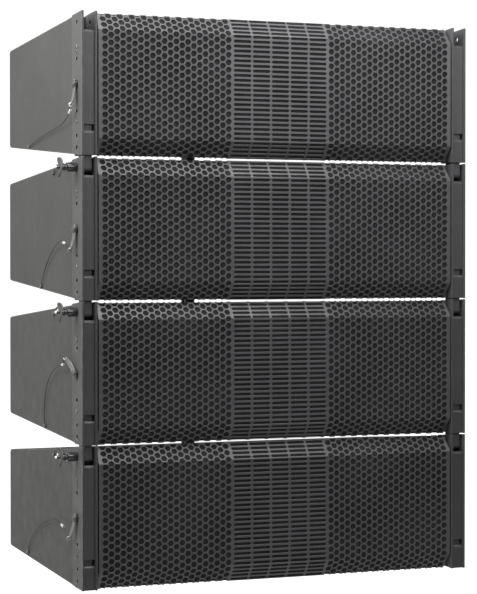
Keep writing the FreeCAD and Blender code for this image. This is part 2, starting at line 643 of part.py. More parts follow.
def cord(points, radius):
    """Wire rope: straight runs joined by tangent arcs. Returns the solid and its smallest bend."""
    corners = [V(*p) for p in points]
    edges = []
    last = corners[0]
    length = 0.0
    bends = []
    for before, corner, after in zip(corners, corners[1:], corners[2:]):
        back = before.sub(corner).normalize()
        ahead = after.sub(corner).normalize()
        turn = math.pi - back.getAngle(ahead)
        reach = 0.45 * min(before.sub(corner).Length, after.sub(corner).Length)
        bend = reach / math.tan(turn / 2)
        middle_way = back.add(ahead).normalize()
        centre = corner.add(middle_way * (bend / math.cos(turn / 2)))
        start = corner.add(back * reach)
        end = corner.add(ahead * reach)
        middle = centre.sub(middle_way * bend)
        edges.append(Part.LineSegment(last, start).toShape())
        edges.append(Part.Arc(start, middle, end).toShape())
        length += last.sub(start).Length + bend * turn
        bends.append(bend)
        last = end
    edges.append(Part.LineSegment(last, corners[-1]).toShape())
    length += last.sub(corners[-1]).Length
    path = Part.Wire(edges)
    heading = corners[1].sub(corners[0])
    section = Part.Wire([Part.makeCircle(radius, corners[0], heading)])
    solid = path.makePipeShell([section], True, False)
    volume = math.pi * radius ** 2 * length
    print("lanyard length %.1f, bends %s, volume ratio %.4f"
          % (length, [round(b) for b in bends], solid.Volume / volume))
    return solid


def lanyards(index):
    return [cord(route, WIRE_RADIUS) for route in wires(index)]


def with_ferrule(solids, route):
    return solids + [ferrule(route[0], route[1])]


# ------------------------------------------------------------------- assembly

def place(solids, index):
    """Moves solids from the cabinet's own frame to its place in the column."""
    offset = V(0, -PIN_Y, -PIN_Z - PITCH * index)
    return Part.makeCompound([s.translated(offset) for s in solids])


def cabinet(index):
    """Named groups of solids of one cabinet, counted from the top."""
    last = index == CABINETS - 1
    name = "cab%d_" % (index + 1)
    turn = MID_LEVER_TURNS[index]
    mid_left = left_pin(lever_pin(turn), 0)
    groups = {
        name + "enclosure": enclosure(),
        name + "grille": grille(),
        name + "rigging_channels": rigging_channels(with_links=not last),
        name + "woofer_frames": woofer_frames(),
        name + "cones": cones(),
        name + "hf_unit": hf_unit(),
        name + "rear_fittings": rear_fittings(),
        name + "rear_bracket": rear_bracket(with_arm=not last),
        name + "screws": screws(index),
        name + "lanyards": lanyards(index),
        name + "mid_pin_left": with_ferrule(mid_left, MID_WIRES[index]),
        name + "mid_pin_right": right_pin(lever_pin(0.0), 0),
    }
    if index > 0:
        top_left = left_pin(wing_pin(TOP_WING_TURNS[index]), PIN_Z)
        groups[name + "top_pin_left"] = with_ferrule(top_left, TOP_WIRE)
        groups[name + "top_pin_right"] = right_pin(lever_pin(0.0), PIN_Z)
        groups[name + "rear_pin"] = rear_pin()
    if last:
        groups[name + "link_right"] = [link(raised=True)]
        groups[name + "link_left"] = [mirrored(link(raised=True))]
    return groups


def main():
    os.makedirs("parts", exist_ok=True)
    for index in range(CABINETS):
        for node, solids in cabinet(index).items():
            place(solids, index).exportStep("parts/%s.step" % node)


main()
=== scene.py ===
import math

import bmesh
import bpy
from mathutils import Matrix, Vector, noise


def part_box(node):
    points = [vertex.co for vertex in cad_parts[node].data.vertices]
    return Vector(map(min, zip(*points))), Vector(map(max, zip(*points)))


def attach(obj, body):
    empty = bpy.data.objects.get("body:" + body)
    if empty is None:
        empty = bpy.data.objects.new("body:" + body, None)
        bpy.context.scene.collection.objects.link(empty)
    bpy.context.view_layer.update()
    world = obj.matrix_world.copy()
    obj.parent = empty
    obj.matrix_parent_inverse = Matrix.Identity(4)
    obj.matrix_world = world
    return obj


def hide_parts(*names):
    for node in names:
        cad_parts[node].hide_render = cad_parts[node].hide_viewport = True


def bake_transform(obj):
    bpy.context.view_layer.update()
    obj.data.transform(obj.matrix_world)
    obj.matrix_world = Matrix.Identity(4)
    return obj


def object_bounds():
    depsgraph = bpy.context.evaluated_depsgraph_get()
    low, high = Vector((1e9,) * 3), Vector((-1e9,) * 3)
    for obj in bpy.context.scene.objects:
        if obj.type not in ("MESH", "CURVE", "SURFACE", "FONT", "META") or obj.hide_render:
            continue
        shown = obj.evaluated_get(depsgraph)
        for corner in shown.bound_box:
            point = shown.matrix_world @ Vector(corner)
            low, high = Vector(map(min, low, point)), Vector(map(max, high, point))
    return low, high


# Looks of the flown column of four line array cabinets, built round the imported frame.
# Each cabinet is drawn in its own frame, in millimetres, with the front plane at y = 0 and its
# mid height at z = 0, and is then moved to its place in the row frame.

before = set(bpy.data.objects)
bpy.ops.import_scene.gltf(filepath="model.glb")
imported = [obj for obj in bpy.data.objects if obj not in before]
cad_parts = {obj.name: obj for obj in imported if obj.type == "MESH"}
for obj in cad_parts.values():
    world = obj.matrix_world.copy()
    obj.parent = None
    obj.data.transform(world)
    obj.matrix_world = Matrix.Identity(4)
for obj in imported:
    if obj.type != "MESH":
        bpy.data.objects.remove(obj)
cad_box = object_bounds()

MM = 0.001
CABINETS = (1, 2, 3, 4)
LAST = CABINETS[-1]
SIDES = {"left": -1, "right": 1}


def cabinet_origin(n):
    """Row place of a cabinet's own frame: the flanges' front plane, at the grille's mid height."""
    channel_low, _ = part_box(f"cab{n}_rigging_channels")
    grille_low, grille_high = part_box(f"cab{n}_grille")
    return Vector((0, channel_low.y, (grille_low.z + grille_high.z) / 2))


ORIGIN = {n: cabinet_origin(n) for n in CABINETS}


# ---- camera

def add_to_scene(name, data):
    made = bpy.data.objects.new(name, data)
    bpy.context.scene.collection.objects.link(made)
    return made


CAMERA_PLACE = (-1.8556, -4.1117, -0.4747)
CAMERA_YAW = -23.358
CAMERA_PITCH = -0.866
CAMERA_LENS = 133.62
SENSOR = 36.0


def make_camera():
    data = bpy.data.cameras.new("camera")
    data.sensor_width = SENSOR
    data.lens = CAMERA_LENS
    camera = add_to_scene("camera", data)
    camera.location = CAMERA_PLACE
    camera.rotation_euler = (math.radians(90 + CAMERA_PITCH), 0, math.radians(CAMERA_YAW))
    bpy.context.scene.camera = camera


make_camera()


# ---- mesh helpers
# Meshes are made in millimetres in a cabinet's own frame, and are moved to the row frame last.

def add_object(name, mesh_data, body, materials=(), replaced=()):
    """Links a mesh as a piece that rides on a body."""
    piece = add_to_scene(name, mesh_data)
    for material in materials:
        mesh_data.materials.append(material)
    if body:
        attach(piece, body)
    if replaced:
        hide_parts(*replaced)
    return piece


def finished(bm, name, smooth_angle=35.0):
    """Turns a bmesh into mesh data with smooth shading below an angle."""
    bmesh.ops.recalc_face_normals(bm, faces=bm.faces)
    for edge in bm.edges:
        edge.smooth = len(edge.link_faces) == 2 and edge.calc_face_angle(math.pi) < math.radians(smooth_angle)
    for face in bm.faces:
        face.smooth = True
    data = bpy.data.meshes.new(name)
    bm.to_mesh(data)
    bm.free()
    return data


def add_piece(n, name, bm, body, materials, replaced=(), smooth_angle=35.0):
    """Moves a bmesh from cabinet n's frame to the row frame and adds it as a piece."""
    bm.transform(Matrix.Translation(ORIGIN[n]) @ Matrix.Scale(MM, 4))
    piece = add_object(name, finished(bm, name, smooth_angle), body, materials, replaced)
    weighted = piece.modifiers.new("weighted", "WEIGHTED_NORMAL")
    weighted.keep_sharp = True
    return piece


def add_fixed(n, name, bm, material, node, smooth_angle=35.0):
    """Adds a piece of one material that rides on cabinet n and stands for one of its nodes."""
    body = f"cab{n}"
    add_piece(n, f"{body}_{name}", bm, body, [MATERIAL[material]], [f"{body}_{node}"], smooth_angle)


def edge_mark(bm):
    return bm.faces.layers.float.get("edge") or bm.faces.layers.float.new("edge")


def round_edges(bm, edges, width, segments=2):
    """Bevels edges and marks the new faces as worn edges."""
    mark = edge_mark(bm)
    made = bmesh.ops.bevel(bm, geom=edges, offset=width, segments=segments, profile=0.5,
                           affect="EDGES", clamp_overlap=False)
    for face in made["faces"]:
        face[mark] = 1.0


def sharp_edges(bm, angle=35.0):
    limit = math.radians(angle)
    return [e for e in bm.edges if len(e.link_faces) == 2 and e.calc_face_angle(0) > limit]


def soften(bm, width):
    """Rounds all the sharp edges of a solid."""
    bmesh.ops.recalc_face_normals(bm, faces=bm.faces)
    round_edges(bm, sharp_edges(bm), width)


def paint(bm, first, index):
    """Gives a material index to the faces made since there were first of them."""
    bm.faces.ensure_lookup_table()
    for i in range(first, len(bm.faces)):
        bm.faces[i].material_index = index


def join(bm, a, b):
    """Band of faces between two closed loops of as many points."""
    return [bm.faces.new((a[i - 1], a[i], b[i], b[i - 1])) for i in range(len(a))]


def skin(bm, loops, closed=False):
    """Faces between a row of loops, with a cap at each end unless the row is closed."""
    for i in range(0 if closed else 1, len(loops)):
        join(bm, loops[i - 1], loops[i])
    if not closed:
        bm.faces.new(loops[0])
        bm.faces.new(loops[-1])


def fill_grid(bm, grid):
    """Faces between the columns of a grid of points."""
    for a, b in zip(grid, grid[1:]):
        for j in range(len(a) - 1):
            bm.faces.new((a[j], b[j], b[j + 1], a[j + 1]))


def turned_to(point, side, up, radius, angle):
    """Point at a radius and an angle round another point."""
    return point + side * (radius * math.cos(angle)) + up * (radius * math.sin(angle))


def add_plate(bm, outline, holes, low, high, to_point):
    """Flat outline with holes, made solid between two depths; to_point makes a 3D point."""
    made = []
    for depth in (low, high):
        rings = [[bm.verts.new(to_point(a, b, depth)) for a, b in loop] for loop in [outline, *holes]]
        edges = [bm.edges.new((ring[i - 1], ring[i])) for ring in rings for i in range(len(ring))]
        bmesh.ops.triangle_fill(bm, use_beauty=True, edges=edges)
        made.append(rings)
    for low_ring, high_ring in zip(*made):
        join(bm, low_ring, high_ring)


def round_point(a, b, radius, angle):
    return (a + radius * math.cos(angle), b + radius * math.sin(angle))


def circle(centre_a, centre_b, radius, count=24):
    return [round_point(centre_a, centre_b, radius, 2 * math.pi * i / count) for i in range(count)]


def rounded(corners, radius, steps=5):
    """Polygon with its listed corners cut round. Corners are (a, b) or (a, b, radius)."""
    points = []
    count = len(corners)
    for i, corner in enumerate(corners):
        here = Vector(corner[:2])
        bend = corner[2] if len(corner) > 2 else radius
        back = (Vector(corners[i - 1][:2]) - here).normalized()
        ahead = (Vector(corners[(i + 1) % count][:2]) - here).normalized()
        half = back.angle(ahead) / 2
        if bend <= 0:
            points.append(tuple(here))
            continue
        centre = here + (back + ahead).normalized() * (bend / math.sin(half))
        start = here + back * (bend / math.tan(half)) - centre
        end = here + ahead * (bend / math.tan(half)) - centre
        turn = start.angle_signed(end)
        for k in range(steps + 1):
            points.append(tuple(centre + Matrix.Rotation(-turn * k / steps, 2) @ start))
    return points


def span(sign, a, b):
    """Range between two distances, on the side that the sign says, low end first."""
    return sorted((sign * a, sign * b))


def rectangle(a, b):
    return [(a[0], b[0]), (a[1], b[0]), (a[1], b[1]), (a[0], b[1])]


def upright(a, b, depth):
    """(x, y) outline, extruded along z."""
    return (a, b, depth)


def add_box(bm, x, y, z):
    add_plate(bm, rectangle(x, y), [], *z, upright)


def add_lathe(bm, rings, base, axis, up, count=32):
    """Solid of revolution: rings of (height along the axis, radius or radius function of the angle)."""
    axis = Vector(axis).normalized()
    side = Vector(up).cross(axis).normalized()
    front = axis.cross(side)
    loops = []
    for height, radius in rings:
        loop = []
        for i in range(count):
            angle = 2 * math.pi * i / count
            r = radius(angle) if callable(radius) else radius
            loop.append(bm.verts.new(turned_to(Vector(base) + axis * height, side, front, r, angle)))
        loops.append(loop)
    skin(bm, loops)


def sweep(bm, path, side, radius, count, closed=False, lay=math.inf):
    """Tube along a path; radius is a function of the angle, and the section turns once in each lay."""
    loops = []
    travelled = 0.0
    turns = [2 * math.pi * k / count for k in range(count)]
    for i, point in enumerate(path):
        ahead = path[(i + 1) % len(path)] if closed or i + 1 < len(path) else point
        heading = (ahead - path[i - 1 if closed or i else 0]).normalized()
        side = (side - heading * side.dot(heading)).normalized()
        up = heading.cross(side)
        if i:
            travelled += (point - path[i - 1]).length
        twist = 2 * math.pi * travelled / lay
        loops.append([bm.verts.new(turned_to(point, side, up, radius(a), a + twist)) for a in turns])
    skin(bm, loops, closed)


def hexagon(flat_radius):
    """Radius function of a hexagon with a corner at angle 0."""
    def radius(angle):
        turn = (angle % (math.pi / 3)) - math.pi / 6
        return flat_radius / math.cos(turn)
    return radius


def carved(bm, cutters):
    """Takes the solids of other bmeshes away from a bmesh's solid."""
    for cutter in cutters:
        objects = []
        for source in (bm, cutter):
            bmesh.ops.recalc_face_normals(source, faces=source.faces)
            data = bpy.data.meshes.new("carve")
            source.to_mesh(data)
            source.free()
            objects.append(add_to_scene("carve", data))
        target, tool = objects
        cut = target.modifiers.new("cut", "BOOLEAN")
        cut.object = tool
        cut.solver = "EXACT"
        result = bpy.data.meshes.new_from_object(target.evaluated_get(bpy.context.evaluated_depsgraph_get()))
        bm = bmesh.new()
        bm.from_mesh(result)
        for data in (target.data, tool.data, result):
            bpy.data.meshes.remove(data)
    return bm


def make_refined(n, kind, width, rule, body, slot, materials):
    """Rounds the edges of a CAD node's own mesh; rule gives each face's material from its centre."""
    node = f"cab{n}_{kind}"
    bm = bmesh.new()
    bm.from_mesh(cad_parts[node].data)
    bm.transform(Matrix.Scale(1 / MM, 4) @ Matrix.Translation(-ORIGIN[n]))
    bmesh.ops.remove_doubles(bm, verts=bm.verts, dist=0.02)
    bmesh.ops.dissolve_limit(bm, angle_limit=math.radians(0.6), verts=bm.verts, edges=bm.edges)
    for face in bm.faces:
        face.material_index = rule(face.calc_center_median())
    round_edges(bm, sharp_edges(bm), width)
    add_piece(n, node + "_fine", bm, f"{body}{n}", pick(*materials), [node])


# ---- materials

def start_material(name):
    """New material with its node tree, its shader and object coordinates in metres."""
    material = bpy.data.materials.new(name)
    material.use_nodes = True
    tree = material.node_tree
    coords = add_node(tree, "TexCoord").outputs["Object"]
    return material, tree, tree.nodes["Principled BSDF"], coords


def add_node(tree, kind, inputs=(), **settings):
    """New node; inputs are pairs of a socket's name or index and its value or the output linked to it."""
    node = tree.nodes.new("ShaderNode" + kind)
    for key, value in settings.items():
        setattr(node, key, value)
    for key, value in inputs:
        if isinstance(value, bpy.types.NodeSocket):
            tree.links.new(value, node.inputs[key])
        else:
            node.inputs[key].default_value = value
    return node


def noise_value(tree, coords, scale, detail=4.0, stretch=None):
    if stretch:
        coords = add_node(tree, "Mapping", (("Vector", coords), ("Scale", stretch))).outputs["Vector"]
    inputs = (("Vector", coords), ("Scale", scale), ("Detail", detail))
    return add_node(tree, "TexNoise", inputs).outputs["Fac"]


def remap(tree, value, source, target):
    keys = ("Value", "From Min", "From Max", "To Min", "To Max")
    return add_node(tree, "MapRange", zip(keys, (value, *source, *target))).outputs["Result"]


def times(tree, a, b):
    return add_node(tree, "Math", enumerate((a, b)), operation="MULTIPLY").outputs["Value"]


def mix_colour(tree, factor, a, b):
    """Mix of two colours; each is a tuple or another node's output."""
    node = add_node(tree, "Mix", (("Factor", factor),), data_type="RGBA")
    sockets = [s for s in node.inputs if s.type == "RGBA"]
    for socket, value in zip(sockets, (a, b)):
        if isinstance(value, tuple):
            socket.default_value = (*value, 1)
        else:
            tree.links.new(value, socket)
    return next(s for s in node.outputs if s.type == "RGBA")


def part_of(tree, vector, axis):
    return add_node(tree, "SeparateXYZ", (("Vector", vector),)).outputs[axis]


def shade(colour, factor):
    return tuple(c * factor for c in colour)


def edge_wear(tree, coords, amount):
    """Worn share of the surface: marked edges, broken up by noise."""
    marked = add_node(tree, "Attribute", attribute_name="edge").outputs["Fac"]
    chips = remap(tree, noise_value(tree, coords, 90.0, 6.0), (0.45, 0.62), (0.15, 1.0))
    return times(tree, times(tree, marked, chips), amount)


def add_bump(tree, shader, heights, distance):
    """Chains bump nodes; heights are (value, strength)."""
    below = ()
    for value, strength in heights:
        sockets = (("Height", value), ("Strength", strength), ("Distance", distance), *below)
        normal = add_node(tree, "Bump", sockets).outputs["Normal"]
        below = (("Normal", normal),)
    tree.links.new(normal, shader.inputs["Normal"])


def surface(name, base, roughness, metallic=0.0, variation=0.16, speckle=0.12, grain=800.0, bump=0.2,
            distance=0.0003, worn=None, wear=0.6, streaks=0.0, dust=0.0, specular=0.5, coat=0.0):
    """Surface with patches, speckle, streaks, worn edges, settled dust, uneven gloss and a fine grain."""
    material, tree, shader, coords = start_material(name)
    patches = remap(tree, noise_value(tree, coords, 7.0, 6.0), (0.3, 0.7), (0.0, 1.0))
    colour = mix_colour(tree, patches, shade(base, 1 - variation), shade(base, 1 + variation))
    fine = noise_value(tree, coords, grain, 3.0)
    dots = remap(tree, fine, (0.35, 0.68), (0.0, 1.0))
    colour = mix_colour(tree, times(tree, dots, speckle), colour, shade(base, 2.2))
    if streaks:
        runs = noise_value(tree, coords, 1.0, 5.0, (90.0, 90.0, 5.0))
        colour = mix_colour(tree, remap(tree, runs, (0.48, 0.75), (0.0, streaks)), colour, shade(base, 1.7))
    if dust:
        up = part_of(tree, add_node(tree, "NewGeometry").outputs["Normal"], "Z")
        level = remap(tree, up, (0.45, 1.0), (0.0, dust))
        patchy = remap(tree, noise_value(tree, coords, 26.0, 5.0), (0.3, 0.65), (0.35, 1.0))
        colour = mix_colour(tree, times(tree, level, patchy), colour, (0.30, 0.29, 0.27))
    uneven = noise_value(tree, coords, 38.0, 5.0)
    gloss = remap(tree, uneven, (0.3, 0.7), (roughness - 0.07, roughness + 0.09))
    if worn:
        bare = edge_wear(tree, coords, wear)
        colour = mix_colour(tree, bare, colour, worn)
    tree.links.new(colour, shader.inputs["Base Color"])
    tree.links.new(gloss, shader.inputs["Roughness"])
    shader.inputs["Metallic"].default_value = metallic
    shader.inputs["Specular IOR Level"].default_value = specular
    shader.inputs["Coat Weight"].default_value = coat
    wide = noise_value(tree, coords, grain / 4, 4.0)
    add_bump(tree, shader, ((wide, bump * 0.6), (fine, bump)), distance)
    return material


def grey(value):
    return (value, value, value)


BARE = (0.30, 0.30, 0.29)
SILVER = (0.62, 0.62, 0.60)
CASTING = {"metallic": 0.4, "grain": 500.0, "bump": 0.35, "distance": 0.0004, "worn": SILVER, "wear": 0.5,
           "variation": 0.15}
MATERIAL = {
    "paint": surface("textured_paint", (0.057, 0.058, 0.0545), 0.64, grain=420.0, bump=0.45,
                     distance=0.0006, worn=(0.19, 0.19, 0.175), wear=0.5, streaks=0.10, dust=0.14,
                     speckle=0.20, variation=0.10),
    "baffle": surface("baffle_paint", grey(0.016), 0.7, grain=500.0, bump=0.4),
    "grille": surface("grille_powder_coat", (0.035, 0.035, 0.038), 0.42, grain=1300.0, bump=0.18,
                      worn=grey(0.085), wear=0.55, dust=0.10, variation=0.12),
    "foam": surface("foam", (0.017, 0.017, 0.0175), 0.95, grain=900.0, bump=1.0, distance=0.001,
                    variation=0.3, specular=0.1),
    "rig": surface("rigging_powder_coat", (0.022, 0.022, 0.023), 0.50, grain=1100.0, bump=0.16,
                   worn=grey(0.060), wear=0.5, dust=0.10),
    # Lighter copy of the rigging coat for the side faces inside the channels: the extra lightness is painted
    # fill light on faces in the channel's shade.
    "inside": surface("channel_inside_painted_fill", (0.075, 0.075, 0.078), 0.55, grain=900.0, dust=0.10),
    "flange": surface("flange_powder_coat", (0.074, 0.075, 0.0725), 0.60, grain=600.0, bump=0.30,
                      worn=(0.36, 0.36, 0.35), wear=1.0, streaks=0.15, speckle=0.26, distance=0.0006),
    "link": surface("link_powder_coat", (0.028, 0.028, 0.031), 0.46, bump=0.22,
                    worn=(0.20, 0.20, 0.195), wear=0.75, dust=0.16, speckle=0.18),
    "bracket": surface("bracket_powder_coat", (0.028, 0.028, 0.029), 0.44, grain=1000.0, bump=0.18,
                       worn=BARE, wear=0.45, dust=0.25),
    "basket": surface("basket_powder_coat", (0.020, 0.020, 0.021), 0.45, grain=900.0, worn=grey(0.10),
                      wear=0.4, dust=0.2),
    "ferrite": surface("ferrite", (0.045, 0.044, 0.045), 0.6, grain=300.0, bump=0.5, variation=0.25),
    "zinc": surface("zinc_plate", (0.52, 0.52, 0.50), 0.34, metallic=1.0, grain=600.0, bump=0.15,
                    worn=SILVER, variation=0.12),
    "steel": surface("pin_shaft_steel", (0.55, 0.55, 0.54), 0.28, metallic=1.0, grain=900.0, bump=0.1,
                     worn=SILVER, variation=0.10),
    "cast": surface("cast_grip", (0.115, 0.115, 0.11), 0.45, **CASTING),
    # The lever's finish is a lighter copy of the cast grip's finish; the extra lightness is a painted
    # highlight for the glint on the bowed lever.
    "lever": surface("cast_lever_painted_highlight", (0.21, 0.21, 0.205), 0.40, **CASTING),
    "gloss": surface("black_collar", (0.018, 0.018, 0.019), 0.20, grain=700.0, bump=0.06, worn=BARE,
                     wear=0.3, coat=0.4),
    "ferrule": surface("crimped_ferrule", (0.78, 0.78, 0.76), 0.36, metallic=0.35, grain=700.0,
                       bump=0.15, variation=0.10),
    "wire": surface("wire_rope", (0.060, 0.060, 0.062), 0.42, metallic=0.6, grain=1500.0),
    "screw": surface("phosphated_screw", grey(0.13), 0.42, metallic=0.4, grain=900.0, bump=0.12,
                     worn=(0.40, 0.40, 0.39), wear=0.7),
    "paper": surface("cone_paper", (0.030, 0.030, 0.031), 0.85, grain=450.0, bump=0.7, distance=0.0006,
                     variation=0.22),
    "rubber": surface("rubber_surround", grey(0.018), 0.55, grain=900.0, bump=0.12, dust=0.2),
    "former": surface("voice_coil_former", (0.30, 0.16, 0.05), 0.35),
    "horn": surface("horn_plastic", (0.022, 0.022, 0.023), 0.5, bump=0.22, dust=0.2, worn=grey(0.06),
                    wear=0.4),
    "plastic": surface("fitting_plastic", (0.026, 0.026, 0.027), 0.40, worn=grey(0.09), wear=0.4,
                       dust=0.15),
    "contact": surface("socket_core", (0.06, 0.08, 0.13), 0.4, bump=0.15),
    "board": surface("circuit_board", (0.035, 0.11, 0.05), 0.45, grain=260.0, bump=0.3, variation=0.3),
    "copper": surface("copper_winding", (0.62, 0.27, 0.12), 0.35, metallic=1.0, grain=420.0, bump=0.6),
    "grip": surface("handle_rubber", grey(0.022), 0.62, grain=600.0, bump=0.4, dust=0.15,
                    worn=grey(0.07), wear=0.5),
}


def pick(*names):
    return [MATERIAL[name] for name in names]


# ---- lanyards
# Routes are in metres from the cabinet's origin, and run from the pin's ferrule to the clip.

WIRE_DIAMETER = 0.002
STRANDS = 6
STRAND_DEPTH = 0.13
LAY_LENGTH = 0.013
MID_ROUTES = {
    1: ((-.438, .046, -.056), (-.436, .074, -.069), (-.434, .110, -.077), (-.433, .150, -.081),
        (-.432, .196, -.088), (-.432, .246, -.093), (-.431, .290, -.102), (-.430, .326, -.108)),
    2: ((-.439, .078, -.026), (-.437, .106, -.023), (-.434, .142, -.030), (-.432, .184, -.052),
        (-.431, .220, -.077), (-.430, .247, -.111)),
    3: ((-.439, .088, .016), (-.437, .114, .013), (-.435, .148, .005), (-.433, .180, -.009),
        (-.432, .206, -.030), (-.431, .221, -.060), (-.431, .227, -.088), (-.430, .226, -.111)),
    4: ((-.439, .092, -.018), (-.437, .122, -.012), (-.435, .162, -.014), (-.433, .204, -.022),
        (-.432, .246, -.036), (-.431, .288, -.054), (-.431, .321, -.077), (-.430, .338, -.099)),
}
TOP_ROUTE = ((-.452, .074, .125), (-.444, .098, .130), (-.437, .126, .130), (-.432, .150, .125),
             (-.430, .165, .118))


def spline_points(name, points):
    """Points along the NURBS line that a route's control points make."""
    curve = bpy.data.curves.new(name + "_line", "CURVE")
    curve.dimensions = "3D"
    spline = curve.splines.new("NURBS")
    spline.points.add(len(points) - 1)
    for control, point in zip(spline.points, points):
        control.co = (*point, 1)
    spline.order_u = 3
    spline.use_endpoint_u = True
    spline.resolution_u = 30
    line = bpy.data.objects.new(name + "_line", curve)
    mesh = bpy.data.meshes.new_from_object(line)
    path = [v.co.copy() for v in mesh.vertices]
    bpy.data.objects.remove(line)
    bpy.data.meshes.remove(mesh)
    return path


def rope_radius(angle):
    """Radius of the rope's lobed section."""
    lobe = abs(math.sin(STRANDS * angle / 2))
    return WIRE_DIAMETER / 2 * (1 - STRAND_DEPTH * (1 - lobe))


def rope_mesh(name, path):
    bm = bmesh.new()
    side = (path[1] - path[0]).cross(Vector((1, 0, 0))).normalized()
    sweep(bm, path, side, rope_radius, STRANDS * 4, lay=LAY_LENGTH)
    return finished(bm, name, 80)


def make_lanyard(n, kind, route):
    """Wire rope from a pin's ferrule back to its clip."""
    name = f"cab{n}_{kind}_lanyard"
    points = [ORIGIN[n] + Vector(p) for p in route]
    path = spline_points(name, points)
    rope = add_object(name, rope_mesh(name, path), None, pick("wire"), [f"cab{n}_lanyards"])
    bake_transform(rope)


def routes(n):
    """Kinds and routes of a cabinet's lanyards; the highest cabinet has no top pins."""
    mid = [("mid", MID_ROUTES[n])]
    return mid if n == 1 else mid + [("top", TOP_ROUTE)]


for number in CABINETS:
    for which, points_of in routes(number):
        make_lanyard(number, which, points_of)


# ---- cabinet dimensions (mm)

_, enclosure_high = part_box("cab1_enclosure")
HALF_WIDTH = enclosure_high.x / MM
DEPTH = (enclosure_high.y - ORIGIN[1].y) / MM
FRONT_HALF = 140.5
SLOPE = 0.07872
BOARD = 15.0
CHANNEL_INSIDE = HALF_WIDTH - 32.0
CHANNEL_DEPTH = 62.0
BOX_FRONT = 26.0
PIN_Y = 33.0
PIN_Z = 122.0
PIN_POCKET = 8.0
POCKET_DEPTH = 12
BAFFLE = 18.0
WOOFER_X = 248.5
WOOFER_HOLE = 109.0
HORN_OPENING = ((-92, 92), (-100, 100))
PLATE_OPENING = ((178, 322), (-42, 42))


def half_height(y):
    return FRONT_HALF - SLOPE * y


def side_point(a, b, depth):
    """(y, z) outline, extruded along x."""
    return (depth, a, b)


def wedge(front, rear, inset=0.0, rear_radius=0.0):
    high, low = half_height(front) - inset, half_height(rear) - inset
    return rounded([(front, -high), (rear, -low, rear_radius), (rear, low, rear_radius), (front, high)], 0, 6)


# ---- cabinet shell

def mark_slanted(bm):
    """Marks the faces that face none of the main directions, which are the rounded edges."""
    mark = edge_mark(bm)
    for face in bm.faces:
        if max(abs(c) for c in face.normal) < 0.985:
            face[mark] = 1.0


def cutter(build, *args):
    bm = bmesh.new()
    build(bm, *args)
    return bm


def make_shell(n):
    """Coated wooden box, open at the front, notched for the channels and for the connector plate."""
    bm = bmesh.new()
    add_plate(bm, wedge(BOX_FRONT, DEPTH, 0, 8.0), [], -HALF_WIDTH, HALF_WIDTH, side_point)
    bmesh.ops.recalc_face_normals(bm, faces=bm.faces)
    rim = [e for e in sharp_edges(bm, 50) if abs(abs(e.verts[0].co.x) - HALF_WIDTH) < 0.01]
    round_edges(bm, rim, 2.5, 3)
    cutters = [cutter(add_plate, wedge(BOX_FRONT - 5, DEPTH - BOARD, BOARD), [], BOARD - HALF_WIDTH,
                      HALF_WIDTH - BOARD, side_point),
               cutter(add_box, PLATE_OPENING[0], (DEPTH - 20, DEPTH + 5), PLATE_OPENING[1])]
    for side in SIDES.values():
        notch = span(side, CHANNEL_INSIDE, HALF_WIDTH + 5)
        cutters.append(cutter(add_box, notch, (0, CHANNEL_DEPTH), (-200, 200)))
        for z in (-PIN_Z, PIN_Z):
            pocket = span(side, CHANNEL_INSIDE - POCKET_DEPTH, CHANNEL_INSIDE + 2)
            cutters.append(cutter(add_plate, circle(PIN_Y, z, PIN_POCKET), [], *pocket, side_point))
    bm = carved(bm, cutters)
    mark_slanted(bm)
    add_fixed(n, "shell", bm, "paint", "enclosure")


def make_baffle(n):
    """Front board behind the grille, with its two round holes and the horn's opening."""
    rear = CHANNEL_DEPTH + BAFFLE
    front_half = half_height(CHANNEL_DEPTH) - BOARD

    def point(a, b, y):
        return (a, y, b * (half_height(y) - BOARD) / front_half)

    half = HALF_WIDTH - BOARD
    outline = rectangle((-half, half), (-front_half, front_half))
    holes = [circle(x, 0, WOOFER_HOLE, 64) for x in (-WOOFER_X, WOOFER_X)] + [rectangle(*HORN_OPENING)]
    bm = bmesh.new()
    add_plate(bm, outline, holes, CHANNEL_DEPTH, rear, point)
    soften(bm, 1.0)
    add_fixed(n, "baffle", bm, "baffle", "enclosure")


# ---- grille
# The sheet is made flat, with x across, y as its depth and z as the height along the sheet, and is
# then folded back along its top and bottom.

SHEET = 1.5
SHEET_FRONT = 2.0
SHEET_HALF = 392.0
FOLD_Z = 107.5
FOLD_RUN = (22.0, 33.3)
FOLD_ANGLE = math.atan2(*FOLD_RUN)
FOLD_RADIUS = 4.0
FOLD_START = FOLD_Z - FOLD_RADIUS * math.tan(FOLD_ANGLE / 2)
FOLD_END = FOLD_START + FOLD_RADIUS * FOLD_ANGLE
SHEET_EDGE = FOLD_Z + math.hypot(*FOLD_RUN) - 0.05
END_CUT = 5.0
END_CUT_Z = (113.0, 141.8)
HOLE_RIM = 0.4
HEX_COLUMNS = 22
HEX_FIRST = 114.6
HEX_PITCH = (12.55, 14.9)
HEX_RADIUS = 6.6
HEX_PHASE = {1: -0.5, 2: 4.0, 3: -5.1, 4: -3.4}
SLOT_COLUMNS = 5
SLOT_PITCH = (42.0, 9.8)
SLOT_HALF = (16.3, 2.8)
SLOT_PHASE = {1: 6.7, 2: 3.3, 3: 2.5, 4: 4.6}
FOAM_HALF = 102.0
FOAM_DEPTH = 6.0
FOAM_STRIP = 1.4
RAIL_Z = (104.0, 122.5)
RAIL_DEPTH = 10
POST_X = (-300, -120, 120, 300)
POST_Z = (104.0, 110.0)


def ring(bm, points, depth):
    return [bm.verts.new((x, depth, z)) for x, z in points]


def add_cell(bm, border, rim, hole):
    """One hole of the sheet with its share of the metal round it, front, wall and back."""
    mark = edge_mark(bm)
    rings = [ring(bm, border, 0), ring(bm, rim, 0), ring(bm, hole, HOLE_RIM), ring(bm, hole, SHEET),
             ring(bm, border, SHEET)]
    for k, (a, b) in enumerate(zip(rings, rings[1:])):
        for face in join(bm, a, b):
            face[mark] = 1.0 if k == 1 else 0.0


